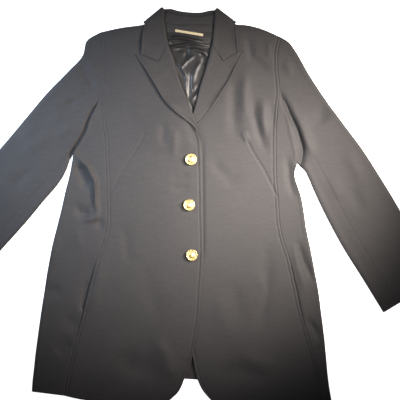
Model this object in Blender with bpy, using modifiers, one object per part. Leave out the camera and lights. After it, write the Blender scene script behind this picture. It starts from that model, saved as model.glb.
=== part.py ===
"""A woman's long single-breasted blazer with peak lapels, lying flat on its back.

The tables are in millimetres, +Y towards the collar and +Z up from the surface it lies on.
Right and left are the wearer's, so the right front, which buttons over, is at -X.
Each piece of cloth is a closed wall: a grid whose two sides are placed by a function of its
column and row. Pieces that are sewn together share the points of their seam.
"""

import math

import bmesh
import bpy

MM = 0.001

# Driving dimensions
WALL = 2.4
GAP = 0.3
LAYER = WALL + GAP
FRONT_UNDER = 2 * LAYER
FRONT_TOP = FRONT_UNDER + WALL
EDGE_RADIUS = FRONT_TOP / 2
LEAF_TOP = FRONT_TOP + LAYER
ROLL_RADIUS = (WALL + LAYER) / 2
ROLL_RETURN = 5.0
SEAM = 0.15
ARMHOLE_SEAM = 0.4
BACK_SEAM = 1.0
SIDE_LAP = 30.0
SHOULDER_LAP = 10.0
ARC_STEPS = 4
ROLL_STEPS = 3
BUTTON_WIDTH = 26.0
BUTTON_DOME = 5.5
SHANK_WIDTH = 7.0
SHANK_HEIGHT = 2.6

# Armhole seams from the shoulder to the underarm: x, y
ARMHOLE = {
    "right": (
        (-219, 370), (-215, 339), (-213, 304), (-214, 275), (-218, 242), (-222, 221),
        (-233, 195), (-244, 171), (-250, 152), (-263, 128), (-279, 103),
    ),
    "left": (
        (178, 359), (172, 334), (170, 310), (170.5, 285), (172.5, 266), (175, 246),
        (182, 220), (195, 188), (213, 152), (223, 114), (215, 80),
    ),
}
SIDE_START = 5
SLEEVE_FRONT_SEAM = 8
SLEEVE_BACK_SEAM = 2
UNDERARM = 10

# The shoulder's outline from the armhole to the neck: x, y
SHOULDER = {
    "right": ((-219, 370), (-172, 380), (-127, 386), (-107, 396)),
    "left": ((178, 359), (136, 377), (104, 385), (80, 387), (62, 396)),
}

# The front below the shoulder, a row for each section: outer seam x, y, inner edge x, y
FRONT = {
    "right": (
        (-215, 339, -89, 353),
        (-213, 304, -72, 322),
        (-214, 275, -62, 288),
        (-218, 242, -51, 254),
        (-222, 221, -41, 228),
        (-217, 188, -27, 196),
        (-213, 157, -15, 161),
        (-210, 133, -4, 144),
        (-208, 100, 2, 104),
        (-206, 50, 4, 50),
        (-205, 0, 5, -5),
        (-205, -48, 6, -60),
        (-213, -90, 7, -105),
        (-225, -122, 6, -145),
        (-242, -180, 2, -197),
        (-256, -240, -1, -250),
        (-272, -300, -9, -303),
        (-284, -348, -19, -352),
        (-292, -388, -33, -390),
        (-297, -415, -47, -421),
        (-299, -431, -67, -441),
    ),
    "left": (
        (172, 334, 46, 356),
        (170, 310, 31, 324),
        (170.5, 285, 23, 294),
        (172.5, 266, 13, 266),
        (175, 246, 6, 240),
        (171, 205, 0, 203),
        (168, 165, -12, 171),
        (167, 135, -36, 140),
        (167, 100, -43, 100),
        (168, 50, -45, 48),
        (172, 0, -46, -5),
        (175, -48, -46, -60),
        (183, -88, -46, -105),
        (194, -120, -45, -145),
        (209, -180, -42, -197),
        (222, -240, -35, -250),
        (238, -300, -25, -303),
        (252, -348, -16, -350),
        (262, -392, -8, -388),
        (267, -425, 5, -418),
        (270, -452, 24, -441),
    ),
}
FRONT_COLUMNS = 10
HEM_DIP = {"right": 12.0, "left": 10.0}

# The side's outline from the underarm to the hem, in step with the front's rows: x, y
SIDE = {
    "right": (
        (-279, 103), (-282, 84), (-286, 62), (-290, 45), (-297, 18), (-306, -22), (-316, -62),
        (-325, -98), (-331, -128), (-336, -155), (-343, -200), (-350, -245), (-358, -302),
        (-363, -340), (-367, -378), (-370, -405), (-371, -422),
    ),
    "left": (
        (215, 80), (209, 62), (209, 48), (215, 30), (222, 10), (229, -25), (234, -62),
        (242, -100), (248, -130), (253, -157), (261, -200), (267, -247), (274, -303),
        (278, -345), (282, -388), (287, -424), (292, -451),
    ),
}

# Sleeves from the armhole to the cuff: outer edge x, y, inner edge x, y, share of the armhole's curve
SLEEVE = {
    "right": (
        (-219, 370, -279, 103, 1.00),
        (-250, 350, -284, 94, 0.85),
        (-258, 320, -289, 84, 0.65),
        (-290, 284, -294, 68, 0.45),
        (-335, 238, -302, 51, 0.25),
        (-385, 179, -315, 32, 0.10),
        (-440, 114, -340, 3, 0.0),
        (-490, 58, -385, -51, 0.0),
        (-541, 0, -430, -101, 0.0),
        (-592, -57, -476, -152, 0.0),
        (-642, -114, -521, -202, 0.0),
    ),
    "left": (
        (178, 359, 215, 80, 1.00),
        (193, 350, 218, 77, 0.85),
        (213, 324, 222, 73, 0.65),
        (238, 280, 226, 69, 0.45),
        (270, 231, 232, 63, 0.25),
        (312, 173, 239, 49, 0.10),
        (359, 110, 251, 21, 0.0),
        (401, 44, 277, -34, 0.0),
        (440, -21, 313, -101, 0.0),
        (480, -97, 358, -173, 0.0),
        (520, -178, 404, -248, 0.0),
    ),
}

# Lapels from the gorge to the break: roll line x, y, outer edge x, y
LAPEL = {
    "right": (
        (-70, 343, -143, 321),
        (-64, 327, -131, 303),
        (-58, 311, -119, 285),
        (-53, 291, -107, 265),
        (-47, 270, -94, 243),
        (-40, 249, -80, 220),
        (-33, 231, -66, 203),
        (-26, 215, -51, 190),
        (-20, 200, -37, 179),
        (-14, 186, -24, 169),
        (-10, 173, -14, 160),
        (-6, 160, -7, 150),
    ),
    "left": (
        (26, 345, 98, 330),
        (22, 330, 91, 314),
        (19, 314, 83, 297),
        (14, 297, 74, 279),
        (9, 280, 65, 262),
        (3, 262, 55, 245),
        (-2, 244, 45, 228),
        (-6, 227, 34, 211),
        (-10, 210, 22, 194),
        (-15, 194, 10, 179),
        (-21, 180, -1, 167),
        (-28, 168, -13, 156),
        (-35, 156, -26, 147),
    ),
}
# The gorge seam between lapel and collar: bend x, y, then the collar's corner x, y
GORGE = {"right": ((-92, 304), (-131, 320)), "left": ((50, 305), (85, 327))}

# The collar, a row for each section along it, from the right gorge round the back to the left:
# roll line x, y, outer edge x, y, width of the stand, half turns made about the fold
COLLAR = (
    (-70, 343, -131, 320, 10.0, 0.0),
    (-73, 361, -129, 340, 15.0, 0.0),
    (-76, 380, -127, 361, 20.0, 0.0),
    (-79, 399, -125, 375, 24.0, 0.0),
    (-80, 422, -122, 388, 33.0, 0.0),
    (-80, 422, -122, 388, 33.0, 0.25),
    (-80, 422, -122, 388, 33.0, 0.5),
    (-80, 422, -122, 388, 33.0, 0.75),
    (-80, 422, -122, 388, 33.0, 1.0),
    (-66, 422, -91, 377, 35.0, 1.0),
    (-46, 417, -58, 372, 32.0, 1.0),
    (-22, 414, -24, 370, 28.0, 1.0),
    (4, 414, 8, 370, 28.0, 1.0),
    (22, 418, 40, 374, 34.0, 1.0),
    (34, 420, 77, 388, 33.0, 1.0),
    (34, 420, 77, 388, 33.0, 0.75),
    (34, 420, 77, 388, 33.0, 0.5),
    (34, 420, 77, 388, 33.0, 0.25),
    (34, 420, 77, 388, 33.0, 0.0),
    (32, 400, 80, 376, 27.0, 0.0),
    (30, 382, 82, 361, 20.0, 0.0),
    (28, 364, 84, 345, 16.0, 0.0),
    (26, 345, 85, 327, 10.0, 0.0),
)
LEAF_COLUMNS = 6
GORGE_BEND_COLUMN = 2
PEAK_COLUMNS = 2
STAND_COLUMNS = 3
SIDE_UNDER_COLUMNS = 2
SIDE_EASING = (1.0, 0.6, 0.3, 0.1)
BACK_YOKE = (0.36, 0.66)
BACK_HEM_RISE = 45.0
BACK_HEM_EASING = (1.0, 0.8, 0.55, 0.3, 0.1)
GORGE_SHIFT = (0.1, 0.3)
GORGE_EASING = (1.0, 0.8, 0.55, 0.3, 0.12)
LAPEL_EASE = 0.5
LAPEL_EASE_ENDS = (300, 260)

# Where the back is raised for the collar's fall under it: each is where the rise starts and ends
COLLAR_ROOM_FOOT = (338, 366)
COLLAR_ROOM_RIGHT = (-168, -132)
COLLAR_ROOM_LEFT = (124, 86)

# Where the right front is raised for the left one, in from its seam and down, and for its lapel
LAP_INWARD = (-102, -53)
LAP_TOP = (246, 204)
LEAF_LAP_TOP = (236, 204)
LEAF_LAP_FOOT = (100, 132)

# The neck opening: y, right roll line x, left roll line x
NECK = (
    (384, -76, 30),
    (369, -74, 29),
    (343, -70, 26),
    (323, -62, 21),
    (298, -55, 14),
    (267, -46, 4),
    (240, -37, -3),
    (212, -25, -11),
    (190, -22, -8),
)

# Largest folds of the top layer: start x, y, end x, y, half width, height
FOLDS = (
    (-252, 70, -234, -40, 11, 2.2),
    (-268, 60, -256, -30, 8, -1.4),
    (100, 262, 100, 150, 12, 2.4),
    (74, 250, 72, 160, 9, -1.2),
    (120, 245, 124, 160, 9, -1.4),
    (124, 148, 144, 102, 9, -1.6),
    (190, 190, 199, 70, 7, 1.6),
    (-150, 150, -120, 60, 26, 1.2),
    (-330, 200, -300, 90, 16, 1.6),
    (-400, 100, -350, 20, 14, -1.3),
    (-455, 50, -405, -20, 16, 1.3),
    (260, 190, 285, 60, 15, 1.6),
    (330, 110, 300, 20, 13, -1.3),
    (372, 20, 345, -60, 15, 1.2),
    (-110, -250, -120, -390, 26, 1.4),
    (110, -250, 130, -400, 26, 1.3),
)

# The back's top edge from the right armhole along the shoulder and neck to the left: x, y
BACK_TOP = (
    (-216.5, 354.5), (-171, 364.5), (-125, 370), (-101, 379), (-83, 388), (-54, 385),
    (-23, 385), (6, 385), (35, 385), (60, 370), (96, 368), (133, 361), (173.8, 343.5),
)

# Inside the neck: facing, lining and label
FACING_TOP = 384.0
FACING_FOOT = 369.0
FACING_INSET = 2.0
LINING_FOOT = 178.0
LINING_TUCK = 7.0
LINING_WALL = 1.2
LINING_TUCK_ENDS = (318, 342)
LINING_FOLDS_START = (195, 225)
LINING_FOLDS = (
    (-64, 334, -22, 344, 7, 2.4),
    (-22, 344, 12, 338, 7, 2.2),
    (-58, 314, -16, 328, 7, 2.0),
    (-10, 336, -8, 296, 7, 2.2),
    (-30, 318, -20, 250, 6, 2.4),
    (-5, 300, -14, 210, 6, 2.6),
    (-44, 300, -34, 250, 5, 1.6),
    (10, 330, 4, 285, 6, 1.8),
)
LABEL_ENDS = ((-55, 373), (7, 363))
LABEL_WIDTH = 9.0
LABEL_WALL = 1.0

# In-seam pockets: y of the mouth's top and foot, how far it gapes on each side, the bag
POCKET_GAPE = 1.0
POCKET_TOP = -135
POCKET_FOOT = -260
POCKET_BAG = 34.0
POCKET_WALL = 1.2
POCKET_EASE = 30.0

# Button centres: x, y
BUTTONS = ((-20, 89), (-24, -11), (-18, -121))

# Materials: red, green, blue, roughness, metallic
FINISHES = {
    "twill": (0.028, 0.027, 0.029, 0.62, 0.0),
    "facing": (0.034, 0.031, 0.032, 0.60, 0.0),
    "satin": (0.055, 0.053, 0.056, 0.34, 0.0),
    "label": (0.72, 0.64, 0.42, 0.55, 0.0),
    "gilt": (0.80, 0.58, 0.26, 0.28, 1.0),
}


def mix(a, b, t):
    return a + (b - a) * t


def smooth(t):
    t = min(1.0, max(0.0, t))
    return t * t * (3 - 2 * t)


def between(points, t):
    """The point at t, from 0 to 1, of a smooth curve through the points."""
    spot = min(max(t, 0.0), 1.0) * (len(points) - 1)
    k = min(int(spot), len(points) - 2)
    f = spot - k
    p1 = points[k]
    p2 = points[k + 1]
    p0 = points[k - 1] if k else [2 * a - b for a, b in zip(p1, p2)]
    p3 = points[k + 2] if k + 2 < len(points) else [2 * b - a for a, b in zip(p1, p2)]
    return [
        b + 0.5 * f * (c - a + f * (2 * a - 5 * b + 4 * c - d + f * (3 * (b - c) + d - a)))
        for a, b, c, d in zip(p0, p1, p2, p3)
    ]


def at_level(rows, level):
    """The row of a table whose first column is y, read at a level between its rows."""
    for upper, lower in zip(rows, rows[1:]):
        if lower[0] <= level <= upper[0]:
            t = (upper[0] - level) / (upper[0] - lower[0])
            return [mix(a, b, t) for a, b in zip(upper, lower)]
    return rows[0] if level > rows[0][0] else rows[-1]


def fold_height(x, y):
    """How far the largest folds lift the top layer at a point."""
    height = 0.0
    for x0, y0, x1, y1, half, lift in FOLDS:
        along = ((x - x0) * (x1 - x0) + (y - y0) * (y1 - y0)) / ((x1 - x0) ** 2 + (y1 - y0) ** 2)
        along = min(1.2, max(-0.2, along))
        away = math.hypot(x - mix(x0, x1, along), y - mix(y0, y1, along)) / half
        ends = smooth((along + 0.2) / 0.4) * smooth((1.2 - along) / 0.4)
        height += lift * ends * math.exp(-away * away)
    return height


def ramp(value, start, end):
    """A smooth rise from 0 to 1 between two values."""
    return smooth((value - start) / (end - start))


def collar_room(x, y):
    """How far the back is raised where the collar's fall lies under it."""
    across = ramp(x, *COLLAR_ROOM_RIGHT) * ramp(x, *COLLAR_ROOM_LEFT)
    return LAYER * ramp(y, *COLLAR_ROOM_FOOT) * across


def overlap_room(side, x, y):
    """How far the right front is raised where it lies on the left one and on its lapel."""
    if side == "left":
        return 0.0
    on_lapel = ramp(y, *LEAF_LAP_TOP) * ramp(y, *LEAF_LAP_FOOT)
    return LAYER * ramp(x, *LAP_INWARD) * (ramp(y, *LAP_TOP) + on_lapel)


def front_level(side, x, y):
    """The top of the front at a point."""
    return FRONT_TOP + fold_height(x, y) + overlap_room(side, x, y)


def pocket_mouth(y):
    """How far the seam gapes on each side at the pocket's mouth."""
    top = ramp(y, POCKET_TOP, POCKET_TOP - POCKET_EASE)
    return POCKET_GAPE * top * ramp(y, POCKET_FOOT, POCKET_FOOT + POCKET_EASE)


def toward(start, end):
    """The unit vector from one point to another."""
    length = math.hypot(end[0] - start[0], end[1] - start[1])
    return (end[0] - start[0]) / length, (end[1] - start[1]) / length


def finish(name):
    """A Principled material of one of the finishes."""
    if name in bpy.data.materials:
        return bpy.data.materials[name]
    red, green, blue, roughness, metallic = FINISHES[name]
    material = bpy.data.materials.new(name)
    material.use_nodes = True
    shader = material.node_tree.nodes["Principled BSDF"]
    shader.inputs["Base Color"].default_value = (red, green, blue, 1)
    shader.inputs["Roughness"].default_value = roughness
    shader.inputs["Metallic"].default_value = metallic
    return material


def add(name, shape, material, collection):
    """A mesh object of a bmesh, in its collection, with its material."""
    bmesh.ops.recalc_face_normals(shape, faces=shape.faces)
    if shape.calc_volume(signed=True) < 0:
        bmesh.ops.reverse_faces(shape, faces=shape.faces)
    mesh = bpy.data.meshes.new(name)
    shape.to_mesh(mesh)
    shape.free()
    mesh.shade_smooth()
    mesh.set_sharp_from_angle(angle=math.radians(50))
    mesh.materials.append(finish(material))
    part = bpy.data.objects.new(name, mesh)
    collection.objects.link(part)
    return part


def cloth(name, columns, rows, place, material, collection):
    """A closed wall: a grid with its outer side at place(i, j, 0) and its inner at place(i, j, 1)."""
    shape = bmesh.new()
    bmesh.ops.create_grid(shape, x_segments=columns, y_segments=rows, size=0.5)
    doubled = bmesh.ops.extrude_face_region(shape, geom=shape.faces[:], use_keep_orig=True)
    inner = {item for item in doubled["geom"] if isinstance(item, bmesh.types.BMVert)}
    for vertex in shape.verts:
        column = round((vertex.co.x + 0.5) * columns)
        row = round((vertex.co.y + 0.5) * rows)
        x, y, z = place(column, row, 1 if vertex in inner else 0)
        vertex.co = (x * MM, y * MM, z * MM)
    return add(name, shape, material, collection)


def rounded(top, bottom, radius, step, side):
    """Distance inward and height on the half turn of a flattened edge, from its top to its foot."""
    angle = math.pi * (0.5 - step / ARC_STEPS)
    reach = (top - bottom) / 2 - side * WALL
    run = radius - side * WALL
    return radius - run * math.cos(angle), (top + bottom) / 2 + reach * math.sin(angle)


def front(side, collection):
    """A front, from its seam behind the shoulder over the top to the hem."""
    outward = -1 if side == "right" else 1
    shoulder = SHOULDER[side]
    table = FRONT[side]
    first_top = ARC_STEPS + 1

    def plan(t, row):
        """The point of a row below the shoulder, t from the outer seam to the inner edge."""
        outer_x, outer_y, inner_x, inner_y = table[row]
        inset = ARMHOLE_SEAM if row < SIDE_START else SEAM + pocket_mouth(outer_y)
        x = mix(outer_x - outward * inset, inner_x, t)
        y = mix(outer_y, inner_y, t)
        if row >= len(table) - 2:
            share = 1 if row == len(table) - 1 else 0.4
            y -= share * HEM_DIP[side] * math.sin(math.pi * t) ** 0.8
        return x, y

    def place(column, row, depth):
        t = column / FRONT_COLUMNS
        if row > first_top:
            x, y = plan(t, row - first_top - 1)
            return x, y, front_level(side, x, y) - depth * WALL
        edge = between(shoulder, t)
        edge[0] -= outward * ARMHOLE_SEAM * (1 - t)
        run = toward(edge, plan(t, 0))
        foot = collar_room(edge[0], edge[1])
        if row == 0:
            inward = EDGE_RADIUS + SHOULDER_LAP
            height = foot + depth * WALL
        else:
            top = front_level(side, edge[0], edge[1])
            inward, height = rounded(top, foot, EDGE_RADIUS, ARC_STEPS + 1 - row, depth)
        return edge[0] + run[0] * inward, edge[1] + run[1] * inward, height

    name = side + "_front"
    return cloth(name, FRONT_COLUMNS, first_top + len(table), place, "twill", collection)


def side_seam(side, row):
    """The side panel's point on the front's seam, or where that seam meets the armhole."""
    outward = -1 if side == "right" else 1
    x, y = FRONT[side][SIDE_START - 1 + row][:2]
    return x + outward * (SEAM + pocket_mouth(y)), y


def side_point(side, row, index):
    """The point of a side panel's row that follows the armhole's point of this index."""
    outward = -1 if side == "right" else 1
    armhole = ARMHOLE[side]
    t = (index - SIDE_START) / (UNDERARM - SIDE_START)
    start, end = side_seam(side, row), SIDE[side][row]
    share = SIDE_EASING[row] if row < len(SIDE_EASING) else 0.0
    first, last = armhole[SIDE_START], armhole[UNDERARM]
    x = mix(start[0], end[0], t) + share * (armhole[index][0] - mix(first[0], last[0], t))
    y = mix(start[1], end[1], t) + share * (armhole[index][1] - mix(first[1], last[1], t))
    if row == 0:
        x -= outward * ARMHOLE_SEAM
    return x, y


def side_panel(side, collection):
    """A side panel, from the front's seam on top round the side edge to the back's seam below."""
    outward = -1 if side == "right" else 1
    top_columns = UNDERARM - SIDE_START

    def place(column, row, depth):
        edge = SIDE[side][row]
        if row == 0:
            edge = edge[0] - outward * ARMHOLE_SEAM, edge[1]
        run = toward(edge, side_point(side, row, UNDERARM - 1))
        if column < top_columns:
            x, y = side_point(side, row, SIDE_START + column)
            return x, y, front_level("left", x, y) - depth * WALL
        step = column - top_columns
        if step <= ARC_STEPS:
            inward, height = rounded(front_level("left", *edge), 0, EDGE_RADIUS, step, depth)
            return edge[0] + run[0] * inward, edge[1] + run[1] * inward, height
        under = step - ARC_STEPS
        if row == 0:
            x, y = side_point(side, row, UNDERARM - under)
            return x, y, depth * WALL
        inward = EDGE_RADIUS + SIDE_LAP * under / SIDE_UNDER_COLUMNS
        return edge[0] + run[0] * inward, edge[1] + run[1] * inward, depth * WALL

    columns = top_columns + ARC_STEPS + SIDE_UNDER_COLUMNS
    name = side + "_side_panel"
    return cloth(name, columns, len(SIDE[side]) - 1, place, "twill", collection)


def back_edge(side, row):
    """The back's edge: down the armhole, then down the side panel's seam on the underside."""
    outward = -1 if side == "right" else 1
    armhole = ARMHOLE[side]
    last = UNDERARM - SIDE_UNDER_COLUMNS
    if row < last:
        return armhole[row][0] - outward * ARMHOLE_SEAM, armhole[row][1]
    if row == last:
        run = toward(armhole[last], armhole[last - 1])
        x, y = armhole[last]
        return x - outward * BACK_SEAM + run[0] * BACK_SEAM, y + run[1] * BACK_SEAM
    k = row - last
    edge = SIDE[side][k]
    run = toward(edge, side_point(side, k, UNDERARM - 1))
    inward = EDGE_RADIUS + SIDE_LAP + BACK_SEAM
    return edge[0] + run[0] * inward - outward * BACK_SEAM, edge[1] + run[1] * inward


def back(collection):
    """The back, flat under everything, raised at the neck where the collar's fall lies under it."""
    columns = len(BACK_TOP) - 1
    yoke_rows = len(BACK_YOKE)
    last = UNDERARM - SIDE_UNDER_COLUMNS + len(SIDE["right"]) - 1
    rows = yoke_rows + last
    across = BACK_TOP[-1][0] - BACK_TOP[0][0]

    def spot(column, row):
        """A point of the back, the yoke's rows left out."""
        t = (BACK_TOP[column][0] - BACK_TOP[0][0]) / across
        if row == 0:
            return BACK_TOP[column]
        right, left = back_edge("right", row), back_edge("left", row)
        from_hem = last - row
        share = BACK_HEM_EASING[from_hem] if from_hem < len(BACK_HEM_EASING) else 0.0
        rise = share * BACK_HEM_RISE * math.sin(math.pi * t)
        return mix(right[0], left[0], t), mix(right[1], left[1], t) + rise

    def place(column, row, depth):
        if 0 < row <= yoke_rows:
            upper, lower = spot(column, 0), spot(column, 1)
            share = BACK_YOKE[row - 1]
            x, y = mix(upper[0], lower[0], share), mix(upper[1], lower[1], share)
        else:
            x, y = spot(column, max(0, row - yoke_rows))
        return x, y, collar_room(x, y) + depth * WALL

    return cloth("back", columns, rows, place, "twill", collection)


def sleeve_point(side, row, index):
    """The point of a sleeve's section that follows the armhole's point of this index."""
    outward = -1 if side == "right" else 1
    armhole = ARMHOLE[side]
    outer_x, outer_y, inner_x, inner_y, share = SLEEVE[side][row]
    first, last = armhole[0], armhole[UNDERARM]
    t = (first[1] - armhole[index][1]) / (first[1] - last[1])
    x = mix(outer_x, inner_x, t) + share * (armhole[index][0] - mix(first[0], last[0], t))
    if row == 0:
        x += outward * ARMHOLE_SEAM
    return x, mix(outer_y, inner_y, t)


def sleeve_piece(side, piece, collection):
    """A top or under sleeve: half of a flattened tube, split at the front seam and the back seam."""
    over = piece == "top"
    edge_index = 0 if over else UNDERARM
    step_in = 1 if over else -1
    top_columns = abs(SLEEVE_FRONT_SEAM - edge_index)
    under_columns = abs(SLEEVE_BACK_SEAM - edge_index)

    def seam_point(row, index):
        """A point of the section, half the seam's gap back on the pieces' shared seams."""
        x, y = sleeve_point(side, row, index)
        if index in (SLEEVE_FRONT_SEAM, SLEEVE_BACK_SEAM):
            run = toward((x, y), sleeve_point(side, row, index - step_in))
            x, y = x + run[0] * SEAM, y + run[1] * SEAM
        return x, y

    def place(column, row, depth):
        if column < top_columns:
            x, y = seam_point(row, SLEEVE_FRONT_SEAM - step_in * column)
            return x, y, FRONT_TOP + fold_height(x, y) - depth * WALL
        edge = sleeve_point(side, row, edge_index)
        run = toward(edge, sleeve_point(side, row, edge_index + step_in))
        step = column - top_columns
        if step <= ARC_STEPS:
            top = FRONT_TOP + fold_height(*edge)
            inward, height = rounded(top, 0, EDGE_RADIUS, step, depth)
            return edge[0] + run[0] * inward, edge[1] + run[1] * inward, height
        x, y = seam_point(row, edge_index + step_in * (step - ARC_STEPS))
        return x, y, depth * WALL

    columns = top_columns + ARC_STEPS + under_columns
    name = f"{side}_{piece}_sleeve"
    return cloth(name, columns, len(SLEEVE[side]) - 1, place, "twill", collection)


def turned(across, width, column, depth):
    """Distance out and height of a leaf that turns back under itself at its roll line."""
    if column == 0:
        return ROLL_RADIUS + ROLL_RETURN, -2 * ROLL_RADIUS + depth * WALL
    if column <= ROLL_STEPS + 1:
        angle = math.pi * ((column - 1) / ROLL_STEPS - 0.5)
        radius = ROLL_RADIUS - depth * WALL
        return ROLL_RADIUS - radius * math.cos(angle), -ROLL_RADIUS + radius * math.sin(angle)
    t = (column - ROLL_STEPS - 1) / across
    return mix(ROLL_RADIUS, width, t), -depth * WALL


def gorge_point(side, roll, column, tip=None):
    """A point on the gorge seam: from the roll line to its bend, to the corner and on to a peak."""
    bend, corner = GORGE[side]
    if column <= GORGE_BEND_COLUMN:
        run = toward(roll, bend)
        start = roll[0] + run[0] * ROLL_RADIUS, roll[1] + run[1] * ROLL_RADIUS
        t = column / GORGE_BEND_COLUMN
        return mix(start[0], bend[0], t), mix(start[1], bend[1], t)
    stretch = LEAF_COLUMNS - GORGE_BEND_COLUMN - (PEAK_COLUMNS if tip else 0)
    t = (column - GORGE_BEND_COLUMN) / stretch
    if t <= 1:
        return mix(bend[0], corner[0], t), mix(bend[1], corner[1], t)
    t = (column - GORGE_BEND_COLUMN - stretch) / PEAK_COLUMNS
    return mix(corner[0], tip[0], t), mix(corner[1], tip[1], t)


def lapel(side, collection):
    """A lapel: the facing, which turns at the roll line and lies out on the front."""
    outward = -1 if side == "right" else 1
    table = LAPEL[side]
    gorge_roll, tip = table[0][:2], table[0][2:]
    gorge_run = toward(gorge_roll, GORGE[side][0])

    def place(column, row, depth):
        roll, edge = table[row][:2], table[row][2:]
        run = toward(roll, edge)
        share = GORGE_EASING[row] if row < len(GORGE_EASING) else 0.0
        run = toward((0, 0), (mix(run[0], gorge_run[0], share), mix(run[1], gorge_run[1], share)))
        width = math.hypot(edge[0] - roll[0], edge[1] - roll[1])
        out, height = turned(LEAF_COLUMNS, width, column, depth)
        x, y = roll[0] + run[0] * out, roll[1] + run[1] * out
        leaf_column = column - ROLL_STEPS - 1
        if leaf_column > 0:
            t = leaf_column / LEAF_COLUMNS
            bent_x, bent_y = gorge_point(side, gorge_roll, leaf_column, tip)
            x = mix(roll[0], edge[0], t) + share * (bent_x - mix(gorge_roll[0], tip[0], t))
            y = mix(roll[1], edge[1], t) + share * (bent_y - mix(gorge_roll[1], tip[1], t))
        if row == 0:
            x -= outward * GORGE_SHIFT[0]
            y -= GORGE_SHIFT[1]
        room = overlap_room(side, x, y)
        ease = LAPEL_EASE * ramp(y, *LAPEL_EASE_ENDS) if side == "right" else 0.0
        level = LEAF_TOP + fold_height(x, y) + room + ease
        return x, y, level + height

    columns = 1 + ROLL_STEPS + LEAF_COLUMNS
    return cloth(side + "_lapel", columns, len(table) - 1, place, "facing", collection)


def collar_frame(row):
    """A section of the collar: roll point, edge point, direction across, way out, half turns."""
    roll_x, roll_y, edge_x, edge_y, stand, turns = COLLAR[row]
    run = toward((roll_x, roll_y), (edge_x, edge_y))
    sign = -1 if row < len(COLLAR) / 2 else 1
    away = sign * -run[1], sign * run[0]
    return (roll_x, roll_y), (edge_x, edge_y), run, away, turns * math.pi


def wound(x, y, height, away, angle):
    """A point of the collar's stack of layers, wound about the fold at the neck by an angle."""
    middle = LEAF_TOP / 2
    reach = middle + height
    return (
        x + away[0] * reach * math.sin(angle),
        y + away[1] * reach * math.sin(angle),
        middle + reach * math.cos(angle),
    )


def collar_fall(collection):
    """The collar's fall: a leaf on each front, joined by the strip folded under the back's neck."""
    last = len(COLLAR) - 1

    def place(column, row, depth):
        roll, edge, run, away, angle = collar_frame(row)
        side = "right" if row < last / 2 else "left"
        outward = -1 if side == "right" else 1
        ends = row in (0, last)
        if ends:
            run = toward(roll, GORGE[side][0])
        width = math.hypot(edge[0] - roll[0], edge[1] - roll[1])
        out, height = turned(LEAF_COLUMNS, width, column, depth)
        x, y = roll[0] + run[0] * out, roll[1] + run[1] * out
        if ends:
            if column > ROLL_STEPS + 1:
                x, y = gorge_point(side, roll, column - ROLL_STEPS - 1)
            x += outward * GORGE_SHIFT[0]
            y += GORGE_SHIFT[1]
        return wound(x, y, height, away, angle)

    columns = 1 + ROLL_STEPS + LEAF_COLUMNS
    return cloth("collar_fall", columns, last, place, "facing", collection)


def collar_stand(collection):
    """The collar's stand, from the fall's turned edge to the neck seam."""

    def place(column, row, depth):
        roll, edge, run, away, angle = collar_frame(row)
        start = ROLL_RADIUS + ROLL_RETURN + GAP
        out = mix(start, COLLAR[row][4], column / STAND_COLUMNS)
        height = -2 * ROLL_RADIUS + depth * WALL
        return wound(roll[0] + run[0] * out, roll[1] + run[1] * out, height, away, angle)

    return cloth("collar_stand", STAND_COLUMNS, len(COLLAR) - 1, place, "facing", collection)


def back_neck_facing(collection):
    """The strip of outer cloth inside the back, below the collar."""
    columns = 8
    rows = 2

    def place(column, row, depth):
        y = mix(FACING_TOP, FACING_FOOT, row / rows)
        right, left = at_level(NECK, y)[1:]
        x = mix(right + FACING_INSET, left - FACING_INSET, column / columns)
        return x, y, collar_room(x, y) + LAYER + depth * LINING_WALL

    return cloth("back_neck_facing", columns, rows, place, "facing", collection)


def lining_height(x, y):
    """How far the lining's folds stand up at a point."""
    height = 0.0
    for x0, y0, x1, y1, half, lift in LINING_FOLDS:
        along = ((x - x0) * (x1 - x0) + (y - y0) * (y1 - y0)) / ((x1 - x0) ** 2 + (y1 - y0) ** 2)
        along = min(1.0, max(0.0, along))
        away = math.hypot(x - mix(x0, x1, along), y - mix(y0, y1, along)) / half
        height += lift * math.exp(-away * away)
    return height


def back_lining(collection):
    """The satin lining of the back, as far as the neck opening shows it."""
    columns = 12
    rows = 18

    def place(column, row, depth):
        y = mix(FACING_FOOT - GAP, LINING_FOOT, row / rows)
        right, left = at_level(NECK, y)[1:]
        inset = mix(-LINING_TUCK, FACING_INSET, ramp(y, *LINING_TUCK_ENDS))
        t = column / columns
        x = mix(right + inset, left - inset, t)
        shown = ramp(t, 0, 0.25) * ramp(t, 1, 0.75) * ramp(y, *LINING_FOLDS_START)
        rise = shown * lining_height(x, y)
        return x, y, collar_room(x, y) + LAYER + rise + depth * LINING_WALL

    return cloth("back_lining", columns, rows, place, "satin", collection)


def neck_label(collection):
    """The label sewn over the facing's lower edge, left bare."""
    (x0, y0), (x1, y1) = LABEL_ENDS

    def place(column, row, depth):
        x = mix(x0, x1, column / 4)
        y = mix(y0, y1, column / 4) - LABEL_WIDTH * (row - 0.5)
        level = collar_room(x, y) + LAYER + LINING_WALL + 2 * GAP
        return x, y, level + depth * LABEL_WALL

    return cloth("neck_label", 4, 1, place, "label", collection)


def pocket(side, collection):
    """The pocket bag that shows as the dark mouth of the pocket in the front's side seam."""
    rows = [row for row in FRONT[side] if POCKET_FOOT - 5 <= row[1] <= POCKET_TOP + 20]

    def place(column, row, depth):
        x, y = rows[row][0], rows[row][1]
        return x + POCKET_BAG * (column / 2 - 0.5), y, LAYER + GAP + depth * POCKET_WALL

    return cloth(side + "_pocket", 2, len(rows) - 1, place, "facing", collection)


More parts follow.
